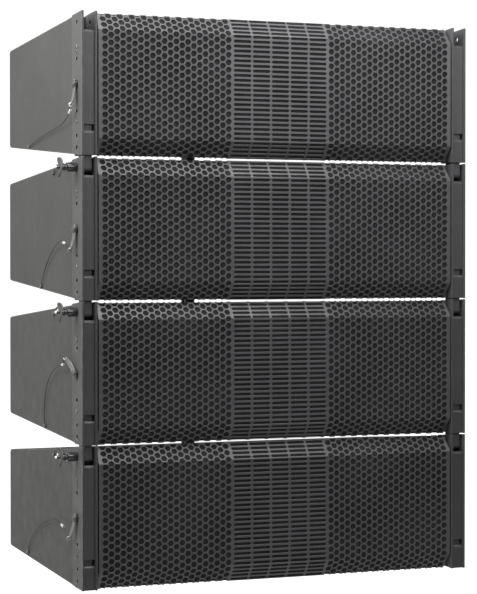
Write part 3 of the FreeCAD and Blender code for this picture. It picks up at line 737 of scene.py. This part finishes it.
def hex_cell(bm, x, z):
    across, up = HEX_PITCH[0], HEX_PITCH[1] / 2
    short = across / 3
    border = [(across - short, 0), (short, up), (-short, up),
              (short - across, 0), (-short, -up), (short, -up)]
    add_cell(bm, [(x + a, z + b) for a, b in border], circle(x, z, HEX_RADIUS + HOLE_RIM, 6),
             circle(x, z, HEX_RADIUS, 6))


def slot_points(x, z, half_length, radius, steps=6):
    points = []
    for end in (1, -1):
        for k in range(steps + 1):
            angle = math.pi * (k / steps - 0.5)
            reach = half_length + radius * math.cos(angle)
            points.append((x + end * reach, z + end * radius * math.sin(angle)))
    return points


def slot_cell(bm, x, z, steps=6):
    half, up = SLOT_PITCH[0] / 2, SLOT_PITCH[1] / 2
    border = [(x + end * half, z + end * up * (2 * k / steps - 1))
              for end in (1, -1) for k in range(steps + 1)]
    add_cell(bm, border, slot_points(x, z, SLOT_HALF[0], SLOT_HALF[1] + HOLE_RIM),
             slot_points(x, z, *SLOT_HALF))


def rows(phase, pitch):
    """Heights of the rows that reach the sheet, with one row beyond each end."""
    first = math.ceil((-SHEET_EDGE - pitch - phase) / pitch)
    last = math.floor((SHEET_EDGE + pitch - phase) / pitch)
    return [phase + pitch * k for k in range(first, last + 1)]


def zigzag(column_x, toward, phase):
    """Side of a column of hexagon cells, from bottom to top."""
    across, up = HEX_PITCH[0], HEX_PITCH[1] / 2
    points = []
    for z in rows(phase, HEX_PITCH[1]):
        points += [(column_x + toward * across / 3, z - up), (column_x + toward * across * 2 / 3, z)]
    return points


def stitch(bm, side, inner, outer):
    """Joins two upright rows of points with triangles, on both faces of the sheet."""
    left, right = (inner, outer) if side > 0 else (outer, inner)
    for depth in (0, SHEET):
        a, b = ring(bm, left, depth), ring(bm, right, depth)
        i = j = 0
        while i < len(a) - 1 or j < len(b) - 1:
            if j == len(b) - 1 or (i < len(a) - 1 and a[i + 1].co.z <= b[j + 1].co.z):
                bm.faces.new((a[i], b[j], a[i + 1]))
                i += 1
            else:
                bm.faces.new((a[i], b[j], b[j + 1]))
                j += 1


def fold(point):
    """Place of a point of the flat sheet after folding."""
    x, depth, z = point
    sign = -1 if z < 0 else 1
    along = abs(z)
    if along <= FOLD_START:
        return Vector((x, SHEET_FRONT + depth, z))
    angle = min((along - FOLD_START) / FOLD_RADIUS, FOLD_ANGLE)
    rest = max(along - FOLD_END, 0)
    arm = FOLD_RADIUS - depth
    y = SHEET_FRONT + FOLD_RADIUS - arm * math.cos(angle) + rest * math.sin(angle)
    height = FOLD_START + arm * math.sin(angle) + rest * math.cos(angle)
    return Vector((x, y, sign * height))


def cut(bm, point, normal, **settings):
    parts = [*bm.verts, *bm.edges, *bm.faces]
    bmesh.ops.bisect_plane(bm, geom=parts, plane_co=point, plane_no=normal, dist=1e-5, **settings)


def trim(bm, point, normal):
    """Cuts off what is beyond a plane and closes the cut."""
    cut(bm, point, normal, clear_outer=True)
    bmesh.ops.holes_fill(bm, edges=[e for e in bm.edges if e.is_boundary], sides=0)


def add_side_border(bm, side, phase):
    """Plain strip at one end of the sheet, with the sheet's end face."""
    last_x = side * (HEX_FIRST + HEX_PITCH[0] * (HEX_COLUMNS - 1))
    inner = zigzag(last_x, side, phase)
    outer = [(side * SHEET_HALF, z) for _, z in inner]
    stitch(bm, side, inner, outer)
    front, back = ring(bm, outer, 0), ring(bm, outer, SHEET)
    for i in range(1, len(outer)):
        bm.faces.new((front[i - 1], front[i], back[i], back[i - 1]))


def add_slot_border(bm, side, phase, slot_phase, steps=6):
    """Strip between the slots and the hexagons."""
    inner = zigzag(side * HEX_FIRST, -side, phase)
    pitch = SLOT_PITCH[1]
    levels = [z + pitch * (k / steps - 0.5) for z in rows(slot_phase, pitch) for k in range(steps)]
    line = [(side * SLOT_PITCH[0] * SLOT_COLUMNS / 2, z) for z in levels]
    stitch(bm, side, line, inner)


def make_sheet(n):
    bm = bmesh.new()
    phase, slot_phase = HEX_PHASE[n], SLOT_PHASE[n]
    odd_phase = phase + HEX_PITCH[1] / 2
    for side in SIDES.values():
        for i in range(HEX_COLUMNS):
            outermost = HEX_COLUMNS - 1 - i
            start = phase if outermost % 2 == 0 else odd_phase
            for z in rows(start, HEX_PITCH[1]):
                hex_cell(bm, side * (HEX_FIRST + HEX_PITCH[0] * i), z)
        add_side_border(bm, side, phase)
        add_slot_border(bm, side, odd_phase, slot_phase)
    for i in range(SLOT_COLUMNS):
        for z in rows(slot_phase, SLOT_PITCH[1]):
            slot_cell(bm, SLOT_PITCH[0] * (i - (SLOT_COLUMNS - 1) / 2), z)
    bmesh.ops.remove_doubles(bm, verts=bm.verts, dist=0.01)
    for z in (SHEET_EDGE, -SHEET_EDGE):
        trim(bm, (0, 0, z), (0, 0, z))
    for z in (FOLD_START, (FOLD_START + FOLD_END) / 2, FOLD_END):
        for level in (z, -z):
            cut(bm, (0, 0, level), (0, 0, 1))
    for vert in bm.verts:
        vert.co = fold(vert.co)
    for side in SIDES.values():
        for up in (1, -1):
            start = Vector((side * SHEET_HALF, 0, up * END_CUT_Z[0]))
            end = Vector((side * (SHEET_HALF - END_CUT), 0, up * END_CUT_Z[1]))
            run = end - start
            trim(bm, start, (side * abs(run.z), 0, up * abs(run.x)))
    add_fixed(n, "grille_sheet", bm, "grille", "grille")


def add_slab(bm, half_x, low, high, front, back, cell=8.0):
    """Slightly uneven slab behind the sheet, folded with it."""
    columns, levels = round(2 * half_x / cell), max(round((high - low) / cell), 2)
    grids = []
    for depth in (front, back):
        grid = []
        for i in range(columns + 1):
            x = half_x * (2 * i / columns - 1)
            heights = [low + (high - low) * j / levels for j in range(levels + 1)]
            lifts = [0.18 * noise.noise(Vector((x / 30, z / 30, depth))) for z in heights]
            grid.append([bm.verts.new(fold((x, depth + lift, z))) for z, lift in zip(heights, lifts)])
        grids.append(grid)
        fill_grid(bm, grid)
    rims = []
    for grid in grids:
        bottom, top = [column[0] for column in grid], [column[-1] for column in grid]
        rims.append(bottom[:-1] + grid[-1][:-1] + top[:0:-1] + grid[0][:0:-1])
    join(bm, *rims)


def make_foam(n):
    """Foam slab behind the flat of the sheet and a thin strip round each fold, out to the sheet's edge."""
    bm = bmesh.new()
    near, far = FOAM_HALF, SHEET_EDGE - 0.5
    front, half_x = SHEET + 0.3, SHEET_HALF - 8.5
    add_slab(bm, half_x, -near, near, front, SHEET + FOAM_DEPTH)
    add_slab(bm, half_x, near + 0.1, far, front, front + FOAM_STRIP)
    add_slab(bm, half_x, -far, -near - 0.1, front, front + FOAM_STRIP)
    add_fixed(n, "foam", bm, "foam", "grille", 60.0)


def make_rails(n):
    """Two bars across the box that carry the sheet on short posts."""
    bm = bmesh.new()
    for up in (1, -1):
        rail = (BOX_FRONT, BOX_FRONT + RAIL_DEPTH)
        add_box(bm, (30 - SHEET_HALF, SHEET_HALF - 30), rail, span(up, *RAIL_Z))
        for x in POST_X:
            post = (SHEET_FRONT + SHEET + FOAM_DEPTH + 0.4, BOX_FRONT)
            add_box(bm, (x - 6, x + 6), post, span(up, *POST_Z))
    soften(bm, 0.6)
    add_fixed(n, "grille_rails", bm, "rig", "grille")


# ---- front rigging

PLATE = 4.0
EAR_RISE = 2.4
PIN_BORE = 5.05
SPARE_RADIUS = 4.2
SPARE_HOLES = (50.5, -52.0, -100.5, -124.0)
STRIP_SCREWS = (74.0, 65.0, -74.0)
LINK_TRAVEL = 39.0
LINK_PIN_Z = PIN_Z - 285.0
CHANNEL_MIDDLE = HALF_WIDTH - 16.0
GUIDES = ((-79.5, 106.0), (-140.0, -91.5))
GUIDE_HALF = (11.7, 8.5)
GUIDE_SLOT = (9.5, 44.5)
LINK_EDGES = (10.0, 44.0)
LINK_HALF = 8.0


def side_plate(bm, side, x, outline, holes):
    add_plate(bm, outline, holes, *span(side, *x), side_point)


def add_channel(bm, side):
    """U of three welded plates, open to the front."""
    low, high = half_height(0), half_height(CHANNEL_DEPTH)
    corners = [(0, -low), (CHANNEL_DEPTH, -high, 0), (CHANNEL_DEPTH, high + EAR_RISE, 0), (0, low + EAR_RISE)]
    ear = rounded(corners, 1.5, 3)
    pins = [circle(PIN_Y, z, PIN_BORE, 28) for z in (PIN_Z, 0)]
    small = [circle(PIN_Y, z, SPARE_RADIUS) for z in SPARE_HOLES]
    small += [circle(PIN_Y, z, 2.1, 12) for z in STRIP_SCREWS]
    side_plate(bm, side, (HALF_WIDTH - PLATE, HALF_WIDTH), ear, pins + small)
    side_plate(bm, side, (CHANNEL_INSIDE, CHANNEL_INSIDE + PLATE), ear, pins)
    side_plate(bm, side, (CHANNEL_INSIDE + PLATE, HALF_WIDTH - PLATE),
               wedge(CHANNEL_DEPTH - PLATE, CHANNEL_DEPTH), [])


def add_guide(bm, side, low, high):
    """Guide block: a square tube whose upper front edge is cut at a slant."""
    x, slot = (span(side, CHANNEL_MIDDLE - half, CHANNEL_MIDDLE + half) for half in GUIDE_HALF)
    front, rear = PLATE, CHANNEL_DEPTH - PLATE
    before = set(bm.verts)
    add_plate(bm, rectangle(x, (front, rear)), [rectangle(slot, GUIDE_SLOT)], low, high, upright)
    made = [v for v in bm.verts if v not in before]
    top_front = {e for v in made for e in v.link_edges
                 if all(abs(w.co.y - front) < 0.01 and abs(w.co.z - high) < 0.01 for w in e.verts)}
    bmesh.ops.bevel(bm, geom=list(top_front), offset=4.0, segments=1, affect="EDGES", clamp_overlap=False)


def add_link(bm, side, lift):
    """Link bar with the slot for the lock pin and the hole in its nose."""
    low = LINK_PIN_Z - 10.5
    front, rear = LINK_EDGES
    outline = rounded([(front, low), (rear, low), (rear, 20, 1.5), (front, 20, 1.5)], 9.0, 6)
    slot = slot_points(0, 0, LINK_TRAVEL / 2, 5.3, 8)
    slot = [(PIN_Y - b, a - LINK_TRAVEL / 2) for a, b in slot]
    nose = circle(PIN_Y, LINK_PIN_Z, PIN_BORE, 28)
    x = span(side, CHANNEL_MIDDLE - LINK_HALF, CHANNEL_MIDDLE + LINK_HALF)
    add_plate(bm, outline, [slot, nose], *x, lambda a, b, depth: (depth, a, b + lift))


def is_spare_rim(edge):
    """Whether an edge is round the mouth of a spare hole in an outer flange."""
    for vert in edge.verts:
        x, y, z = vert.co
        from_hole = min(math.hypot(y - PIN_Y, z - hole) for hole in SPARE_HOLES)
        if abs(abs(x) - HALF_WIDTH) > 0.01 or from_hole > SPARE_RADIUS + 0.2:
            return False
    return True


def make_channels(n):
    bm = bmesh.new()
    for side in SIDES.values():
        add_channel(bm, side)
        for reach in GUIDES:
            add_guide(bm, side, *reach)
    bmesh.ops.recalc_face_normals(bm, faces=bm.faces)
    round_edges(bm, [e for e in sharp_edges(bm) if not is_spare_rim(e)], 0.6)
    round_edges(bm, [e for e in sharp_edges(bm) if is_spare_rim(e)], 1.1)
    # Outer faces of the outer flanges take the flange paint; the other side faces, inside the channels, take
    # the inside finish, which is painted fill light.
    for face in bm.faces:
        if abs(face.normal.x) > 0.9:
            face.material_index = 1 if abs(face.calc_center_median().x) > HALF_WIDTH - 0.5 else 2
    node = f"cab{n}_rigging_channels"
    add_piece(n, f"cab{n}_channels", bm, f"cab{n}", pick("rig", "flange", "inside"), [node])
    for name, side in SIDES.items():
        bar = bmesh.new()
        add_link(bar, side, LINK_TRAVEL if n == LAST else 0.0)
        soften(bar, 0.8)
        body = f"link_{name}{n}" if n == LAST else f"cab{n}"
        stands_for = f"cab{n}_link_{name}" if n == LAST else node
        add_piece(n, f"cab{n}_{name}_link_bar", bar, body, pick("link"), [stands_for])


# ---- pins
# Each pin is made with its axis along +x, starting from the flange's outer face at x = 0.

PIN_MATERIALS = ("steel", "gloss", "cast", "ferrule", "wire", "lever")
STEEL, GLOSS, CAST, FERRULE, WIRE, LEVER = range(6)
MID_LEVER_TURNS = {1: -6.0, 2: 3.0, 3: 136.0, 4: 14.0}
TOP_WING_TURNS = {2: 4.0, 3: 0.0, 4: -3.0}
LEVER_BEND = 120.0
SHAFT = 32.0
REAR_PIN = (16, 503, 80)
LEVER_TIP = -42.0
WIRE_RADIUS = 0.9
FERRULE_LENGTH = 14.0
WIRE_EYE = 26.0


def turned_part(bm, rings, index, base=(0, 0, 0), axis=(1, 0, 0), count=32):
    first = len(bm.faces)
    up = (0, 0, 1) if abs(axis[2]) < 0.9 else (0, 1, 0)
    add_lathe(bm, rings, base, axis, up, count)
    paint(bm, first, index)


def add_leaf(bm, length, width, thickness, centre, place_of, index):
    """Grip with blunt rounded ends: rounded sections along its length."""
    first = len(bm.faces)
    half, stations = length / 2, 28
    loops = []
    for k in range(stations + 1):
        share = -math.cos(math.pi * k / stations)
        reach = max(width / 2 * (1 - abs(share) ** 2.6) ** 0.5, 0.35)
        thick = thickness * min(1.0, 0.45 + reach / (width * 0.4)) / 2
        loop = []
        for i in range(16):
            angle = 2 * math.pi * i / 16
            c, s = math.cos(angle), math.sin(angle)
            across = reach * math.copysign(abs(c) ** 0.7, c)
            out = thick * math.copysign(abs(s) ** 0.6, s)
            loop.append(bm.verts.new(place_of(centre + half * share, across, out)))
        loops.append(loop)
    skin(bm, loops)
    paint(bm, first, index)


def add_shaft(bm):
    """Shaft with a chamfered end and the shallow groove of its locking balls."""
    groove = -SHAFT * 0.9
    turned_part(bm, [(-SHAFT, 3.6), (-SHAFT + 0.4, 4.4), (-SHAFT + 1.2, 5.0), (groove - 1.4, 5.0),
                     (groove, 4.6), (groove + 1.4, 5.0), (2.0, 5.0)], STEEL)


def lever_rise(z):
    """Distance of the bowed lever's middle from the flange."""
    return 4.5 + LEVER_BEND - math.sqrt(LEVER_BEND ** 2 - (z - 4.0) ** 2)


def lever_pin():
    """Quick-release pin: low collar, push button and a curved lever that hangs beside it."""
    bm = bmesh.new()
    add_shaft(bm)
    turned_part(bm, [(0.3, 8.2), (0.6, 8.8), (1.1, 9.0), (2.8, 9.0), (3.3, 8.7), (3.5, 8.2)], GLOSS, count=48)

    def on_lever(z, across, out):
        return (lever_rise(z) + out, across, z)

    # The lever takes the lever finish, whose lighter tone is a painted highlight.
    add_leaf(bm, 52.0, 14.0, 3.0, -16.0, on_lever, LEVER)
    turned_part(bm, [(3.4, 7.2), (3.9, 7.6), (7.0, 7.6), (7.9, 7.1), (8.3, 6.2)], CAST, count=40)
    turned_part(bm, [(7.8, 4.4), (8.9, 4.4), (9.3, 4.1), (9.5, 3.6), (9.5, 2.6), (9.1, 2.2),
                     (9.0, 0.6)], CAST)
    return bm


def wing_pin():
    """Quick-release pin: long black collar, neck, upright twisted wing grip and release button."""
    bm = bmesh.new()
    add_shaft(bm)
    turned_part(bm, [(0.3, 8.0), (0.6, 8.8), (1.4, 9.2), (4.6, 9.2), (4.9, 8.9), (5.3, 8.9), (5.6, 9.2),
                     (20.0, 9.2), (20.8, 8.8), (21.2, 8.1)], GLOSS, count=48)
    turned_part(bm, [(21.0, 6.8), (22.0, 5.7), (31.4, 5.5)], GLOSS)

    def on_wing(z, across, out):
        twist = math.radians(36 * z / 19.5)
        lean = 33.0 + z ** 2 / 110
        return (lean + out * math.cos(twist) + across * math.sin(twist),
                across * math.cos(twist) - out * math.sin(twist), z)

    add_leaf(bm, 39.0, 18.0, 4.6, 0.0, on_wing, CAST)
    turned_part(bm, [(35.0, 3.2), (42.2, 3.2), (42.5, 2.8)], GLOSS)
    turned_part(bm, [(42.3, 2.9), (43.8, 2.9), (44.9, 2.5), (45.4, 1.8)], FERRULE)
    return bm


def lanyard_start(route):
    """First point of a lanyard's route, in mm, and the way that it sets off."""
    start, toward = Vector(route[0]) / MM, Vector(route[1]) / MM
    return start, (toward - start).normalized()


def add_ferrule(bm, route):
    """Crimped sleeve that holds the lanyard to the pin."""
    start, heading = lanyard_start(route)
    base = start - heading * (FERRULE_LENGTH + 0.3)
    rings = [(0, 1.9), (0.5, 2.5), (3.3, 2.6), (3.9, 2.2), (4.9, 2.2), (5.5, 2.6), (8.4, 2.6), (9.0, 2.2),
             (10.0, 2.2), (10.6, 2.6), (13.5, 2.6), (FERRULE_LENGTH, 2.0)]
    turned_part(bm, rings, FERRULE, base, heading, 20)


def add_wire(bm, path, index, closed=False):
    """Short plain wire along a list of points."""
    first = len(bm.faces)
    sweep(bm, path, Vector((1, 0, 0)), lambda angle: WIRE_RADIUS, 10, closed)
    paint(bm, first, index)


def add_wire_eye(bm, centre, u, v, radius, index):
    """Closed wire loop in the plane of the unit vectors u and v."""
    centre, u, v = Vector(centre), Vector(u), Vector(v)
    loop = [turned_to(centre, u, v, radius, 2 * math.pi * k / 32) for k in range(32)]
    add_wire(bm, loop, index, True)


def add_wire_tail(bm, begin, route, sag):
    """Short wire from the point where its eye holds to the back end of the ferrule."""
    start, heading = lanyard_start(route)
    end = start - heading * FERRULE_LENGTH
    bend = (begin + end) / 2 + Vector((-2.0, 0, sag))
    path = [begin.lerp(bend, k / 12).lerp(bend.lerp(end, k / 12), k / 12) for k in range(13)]
    add_wire(bm, path, WIRE)


def pin_place(side, turn, z):
    """Turns a pin about its axis, moves it to its bore and mirrors it for the left side."""
    placed = Matrix.Translation((HALF_WIDTH, PIN_Y, z)) @ Matrix.Rotation(math.radians(turn), 4, "X")
    return Matrix.Scale(-1, 4, (1, 0, 0)) @ placed if side < 0 else placed


def add_pin_piece(n, bm, place_name):
    node = f"cab{n}_{place_name}"
    body = node.split("_", 1)[1] + str(n)
    add_piece(n, node + "_fine", bm, body, pick(*PIN_MATERIALS), [node])


def add_plain_pin(n, place_name, placed):
    """Lever pin without a wire."""
    bm = lever_pin()
    bm.transform(placed)
    add_pin_piece(n, bm, place_name)


def make_mid_pins(n):
    """Mid pins; the left one's wire holds in the lever's end."""
    bm = lever_pin()
    tip = Vector((lever_rise(LEVER_TIP), 0, LEVER_TIP + 1.0))
    add_wire_eye(bm, tip, (1, 0, 0), (0, 0, 1), 3.3, STEEL)
    placed = pin_place(-1, MID_LEVER_TURNS[n], 0)
    bm.transform(placed)
    add_ferrule(bm, MID_ROUTES[n])
    add_wire_tail(bm, placed @ (tip + Vector((1.2, 0, -3.1))), MID_ROUTES[n], 3.0)
    add_pin_piece(n, bm, "mid_pin_left")
    add_plain_pin(n, "mid_pin_right", pin_place(1, 0, 0))


def make_top_pins(n):
    """Top pins; the left one's wire goes round its neck."""
    bm = wing_pin()
    add_wire_eye(bm, (WIRE_EYE, 0, 0), (0, 1, 0), (0, 0, 1), 6.6, WIRE)
    bm.transform(pin_place(-1, TOP_WING_TURNS[n], PIN_Z))
    add_ferrule(bm, TOP_ROUTE)
    add_wire_tail(bm, Vector((-HALF_WIDTH - WIRE_EYE, PIN_Y + 5.5, PIN_Z - 3.6)), TOP_ROUTE, 4.0)
    add_pin_piece(n, bm, "top_pin_left")
    add_plain_pin(n, "top_pin_right", pin_place(1, 0, PIN_Z))


def make_rear_pin(n):
    turned = Matrix.Rotation(math.radians(90), 4, "X")
    add_plain_pin(n, "rear_pin", Matrix.Translation(REAR_PIN) @ turned)


# ---- screws

SCREW_SIDES = 24
BRACKET_SCREWS = (-70, 0, 70)
WOOFER_SCREWS = 113.5
HANDLE_SCREWS = (-56, 56)
HORN_SCREWS = (-80, 0, 80)
PLATE_SCREWS = ((171, 329), (-49, 49))


def add_screw(bm, point, heading, shank, length, radius, height):
    """Socket head screw: its head sits on a face at point and its shank runs along heading."""
    out = -Vector(heading)
    up = (0, 0, 1) if abs(out.z) < 0.9 else (0, 1, 0)
    recess = hexagon(radius * 0.42)
    rings = [(-length, shank), (0, shank), (0, radius * 0.97), (height * 0.12, radius),
             (height * 0.62, radius), (height * 0.88, radius * 0.9), (height, radius * 0.74),
             (height, recess), (height * 0.45, recess)]
    first = len(bm.faces)
    add_lathe(bm, rings, point, out, up, SCREW_SIDES)
    bm.faces.ensure_lookup_table()
    mark = edge_mark(bm)
    for i in range(first + SCREW_SIDES * 4, first + SCREW_SIDES * 6):
        bm.faces[i][mark] = 1.0


def make_clip(n, kind, route):
    """Clip block on the side panel at the end of a lanyard."""
    bm = bmesh.new()
    before, end = Vector(route[-2]) / MM, Vector(route[-1]) / MM
    turn = math.atan2(end.y - before.y, before.z - end.z)
    add_box(bm, (-HALF_WIDTH - 4.6, -HALF_WIDTH), (end.y - 3, end.y + 3), (end.z - 9.0, end.z - 0.2))
    bmesh.ops.rotate(bm, verts=bm.verts, cent=(-HALF_WIDTH, end.y, end.z),
                     matrix=Matrix.Rotation(turn, 3, "X"))
    soften(bm, 0.6)
    add_fixed(n, f"{kind}_clip", bm, "screw", "screws")


def make_screws(n):
    for kind, route in routes(n):
        make_clip(n, kind, route)
    bm = bmesh.new()
    for side in SIDES.values():
        for z in STRIP_SCREWS:
            add_screw(bm, (side * HALF_WIDTH, PIN_Y, z), (-side, 0, 0), 2.0, 8.0, 4.2, 1.6)
        for z in BRACKET_SCREWS:
            add_screw(bm, (side * 31, DEPTH + PLATE, z), (0, -1, 0), 3.0, 16, 5.5, 3.2)
        for i in range(8):
            angle = math.radians(22.5 + 45 * i)
            x, z = round_point(side * WOOFER_X, 0, WOOFER_SCREWS, angle)
            add_screw(bm, (x, CHANNEL_DEPTH - 4, z), (0, 1, 0), 2.0, 16, 4.0, 2.2)
        for z in HANDLE_SCREWS:
            add_screw(bm, (side * 375, DEPTH - BOARD, z), (0, 1, 0), 2.4, BOARD + 9, 5.0, 2.6)
        for z in HORN_SCREWS:
            add_screw(bm, (side * 97, CHANNEL_DEPTH - 4, z), (0, 1, 0), 2.0, 16, 4.0, 2.2)
    for x in PLATE_SCREWS[0]:
        for z in PLATE_SCREWS[1]:
            add_screw(bm, (x, DEPTH + 2.5, z), (0, -1, 0), 2.0, 12, 4.0, 2.0)
    add_fixed(n, "screw_heads", bm, "screw", "screws")


# ---- parts refined from the CAD meshes
# Each rule tells which of a node's pieces a face belongs to, from the place of its centre.

ARM_BOLTS = (-50, -80)
SOCKET_X = (215, 285)
SOCKET_Z = 6


def from_woofer(centre):
    return math.hypot(abs(centre.x) - WOOFER_X, centre.z)


def frame_rule(centre):
    """0 basket, 1 magnet, 2 plated parts of the motor."""
    depth = centre.y - CHANNEL_DEPTH
    return 0 if depth < 70.5 else 1 if 76 < depth < 98.5 and from_woofer(centre) > 60 else 2


def cone_rule(centre):
    """0 paper, 1 surround, 2 former."""
    radius = from_woofer(centre)
    return 1 if radius > 92.6 else 2 if centre.y > CHANNEL_DEPTH + 41 and radius < 27 else 0


def horn_rule(centre):
    """0 horn, 1 driver's magnet, 2 driver's cover."""
    depth = centre.y - CHANNEL_DEPTH
    return 0 if depth < 92 else 1 if depth < 108 else 2


def bracket_rule(centre):
    """0 painted steel, 1 bolts."""
    near_bolt = abs(centre.y - REAR_PIN[1]) < 8 and min(abs(centre.z - z) for z in ARM_BOLTS) < 8
    return 1 if near_bolt and abs(centre.x) > 16.1 else 0


def fittings_rule(centre):
    """0 plate, 1 sockets, 2 contacts, 3 board, 4 copper, 5 grips, 6 capacitor."""
    if abs(centre.x) > 350:
        return 5
    if centre.y < 430:
        if centre.y > 421.9:
            return 3
        return 6 if centre.z < -16 and centre.x > 250 and centre.y < 422 and abs(centre.z + 24) < 8 else 4
    across = min(abs(centre.x - x) for x in SOCKET_X)
    if across < 21 and abs(centre.z - SOCKET_Z) < 21:
        return 2 if math.hypot(across, centre.z - SOCKET_Z) < 6.3 and centre.y > 440 else 1
    return 0 if centre.y > 469 else 3


REFINED = (
    ("woofer_frames", 0.4, frame_rule, "cab", "driver_steel", ("basket", "ferrite", "zinc")),
    ("cones", 0.15, cone_rule, "cones", "cone_paper", ("paper", "rubber", "former")),
    ("hf_unit", 0.5, horn_rule, "cab", "horn_plastic", ("horn", "ferrite", "zinc")),
    ("rear_bracket", 0.6, bracket_rule, "cab", "bracket_steel", ("bracket", "zinc")),
    ("rear_fittings", 0.4, fittings_rule, "cab", "fitting_plastic",
     ("rig", "plastic", "contact", "board", "copper", "grip", "plastic")),
)
for number in CABINETS:
    make_shell(number)
    make_baffle(number)
    make_sheet(number)
    make_foam(number)
    make_rails(number)
    make_channels(number)
    make_mid_pins(number)
    if number > 1:
        make_top_pins(number)
        make_rear_pin(number)
    make_screws(number)
    for values in REFINED:
        make_refined(number, *values)


# ---- studio
# A lamp has its name, its place and its target from the column's top, its size and its power.

LIGHTS = (
    ("overhead", (-0.15, -0.6, 1.05), (0, 0, -0.2), (2.0, 0.8), 48),
    ("front", (0.6, -1.4, 0.3), (0.2, 0, -0.4), (1.4, 0.5), 17),
    ("left", (-1.6, 0.1, 0.60), (-0.4, 0.2, -0.2), (1.7, 1.2), 40),
)
FLOOR_SIZE = 60.0
FLOOR_CELLS = 40
SKY_BACKDROP = 1.0
SKY_ROUND = 0.11
SKY_TOP = 0.36


def floor_material():
    """Pale paper floor that turns into the lit white backdrop behind the object."""
    material, tree, shader, coords = start_material("floor_paper")
    tone = remap(tree, noise_value(tree, coords, 3.0, 5.0), (0.3, 0.7), (0.0, 1.0))
    paper = mix_colour(tree, tone, (0.72, 0.72, 0.715), (0.78, 0.78, 0.775))
    glow = remap(tree, part_of(tree, coords, "Y"), (1.0, 3.1), (0.0, 1.0))
    tree.links.new(paper, shader.inputs["Base Color"])
    tree.links.new(glow, shader.inputs["Emission Strength"])
    shader.inputs["Emission Color"].default_value = (1, 1, 1, 1)
    shader.inputs["Roughness"].default_value = 0.9
    add_bump(tree, shader, ((noise_value(tree, coords, 240.0), 0.05),), 0.0005)
    return material


def make_floor():
    bm = bmesh.new()
    lines = [FLOOR_SIZE * (i / FLOOR_CELLS - 0.5) for i in range(FLOOR_CELLS + 1)]
    drop = cad_box[0].z - 0.5
    fill_grid(bm, [[bm.verts.new((x, y, drop)) for y in lines] for x in lines])
    data = finished(bm, "floor")
    floor = add_to_scene("floor", data)
    data.materials.append(floor_material())


def add_area_light(name, place_at, target, size, power):
    data = bpy.data.lights.new(name, "AREA")
    data.shape = "RECTANGLE"
    data.size, data.size_y = size
    data.energy = power
    lamp = add_to_scene(name, data)
    lamp.location = place_at
    lamp.rotation_euler = (Vector(target) - Vector(place_at)).to_track_quat("-Z", "Y").to_euler()


def sky_term(tree, direction, axis, source, target):
    """Share of the sky's light that depends on how far a direction leans to an axis."""
    pair = enumerate((direction, Vector(axis).normalized()))
    lean = add_node(tree, "VectorMath", pair, operation="DOT_PRODUCT")
    return remap(tree, lean.outputs["Value"], source, target)


def make_sky():
    """Soft room light: dim all round, brighter overhead, with a white backdrop behind the object."""
    world = bpy.data.worlds.new("studio")
    world.use_nodes = True
    tree = world.node_tree
    direction = add_node(tree, "TexCoord").outputs["Generated"]
    turn = math.radians(-CAMERA_YAW)
    terms = (((math.sin(turn), math.cos(turn), 0), (0.93, 0.975), (0.0, SKY_BACKDROP)),
             ((0.0, -0.35, 1.0), (0.25, 0.95), (SKY_ROUND, SKY_TOP)))
    total = add_node(tree, "Math", enumerate([sky_term(tree, direction, *term) for term in terms]))
    tree.links.new(total.outputs["Value"], tree.nodes["Background"].inputs["Strength"])
    tree.nodes["Background"].inputs["Color"].default_value = (1, 1, 1, 1)
    bpy.context.scene.world = world


def make_studio():
    make_floor()
    top = Vector((0, 0, cad_box[1].z))
    for name, place, target, size, power in LIGHTS:
        add_area_light(name, top + Vector(place), top + Vector(target), size, power)
    make_sky()
    bpy.context.scene.view_settings.view_transform = "Standard"


make_studio()
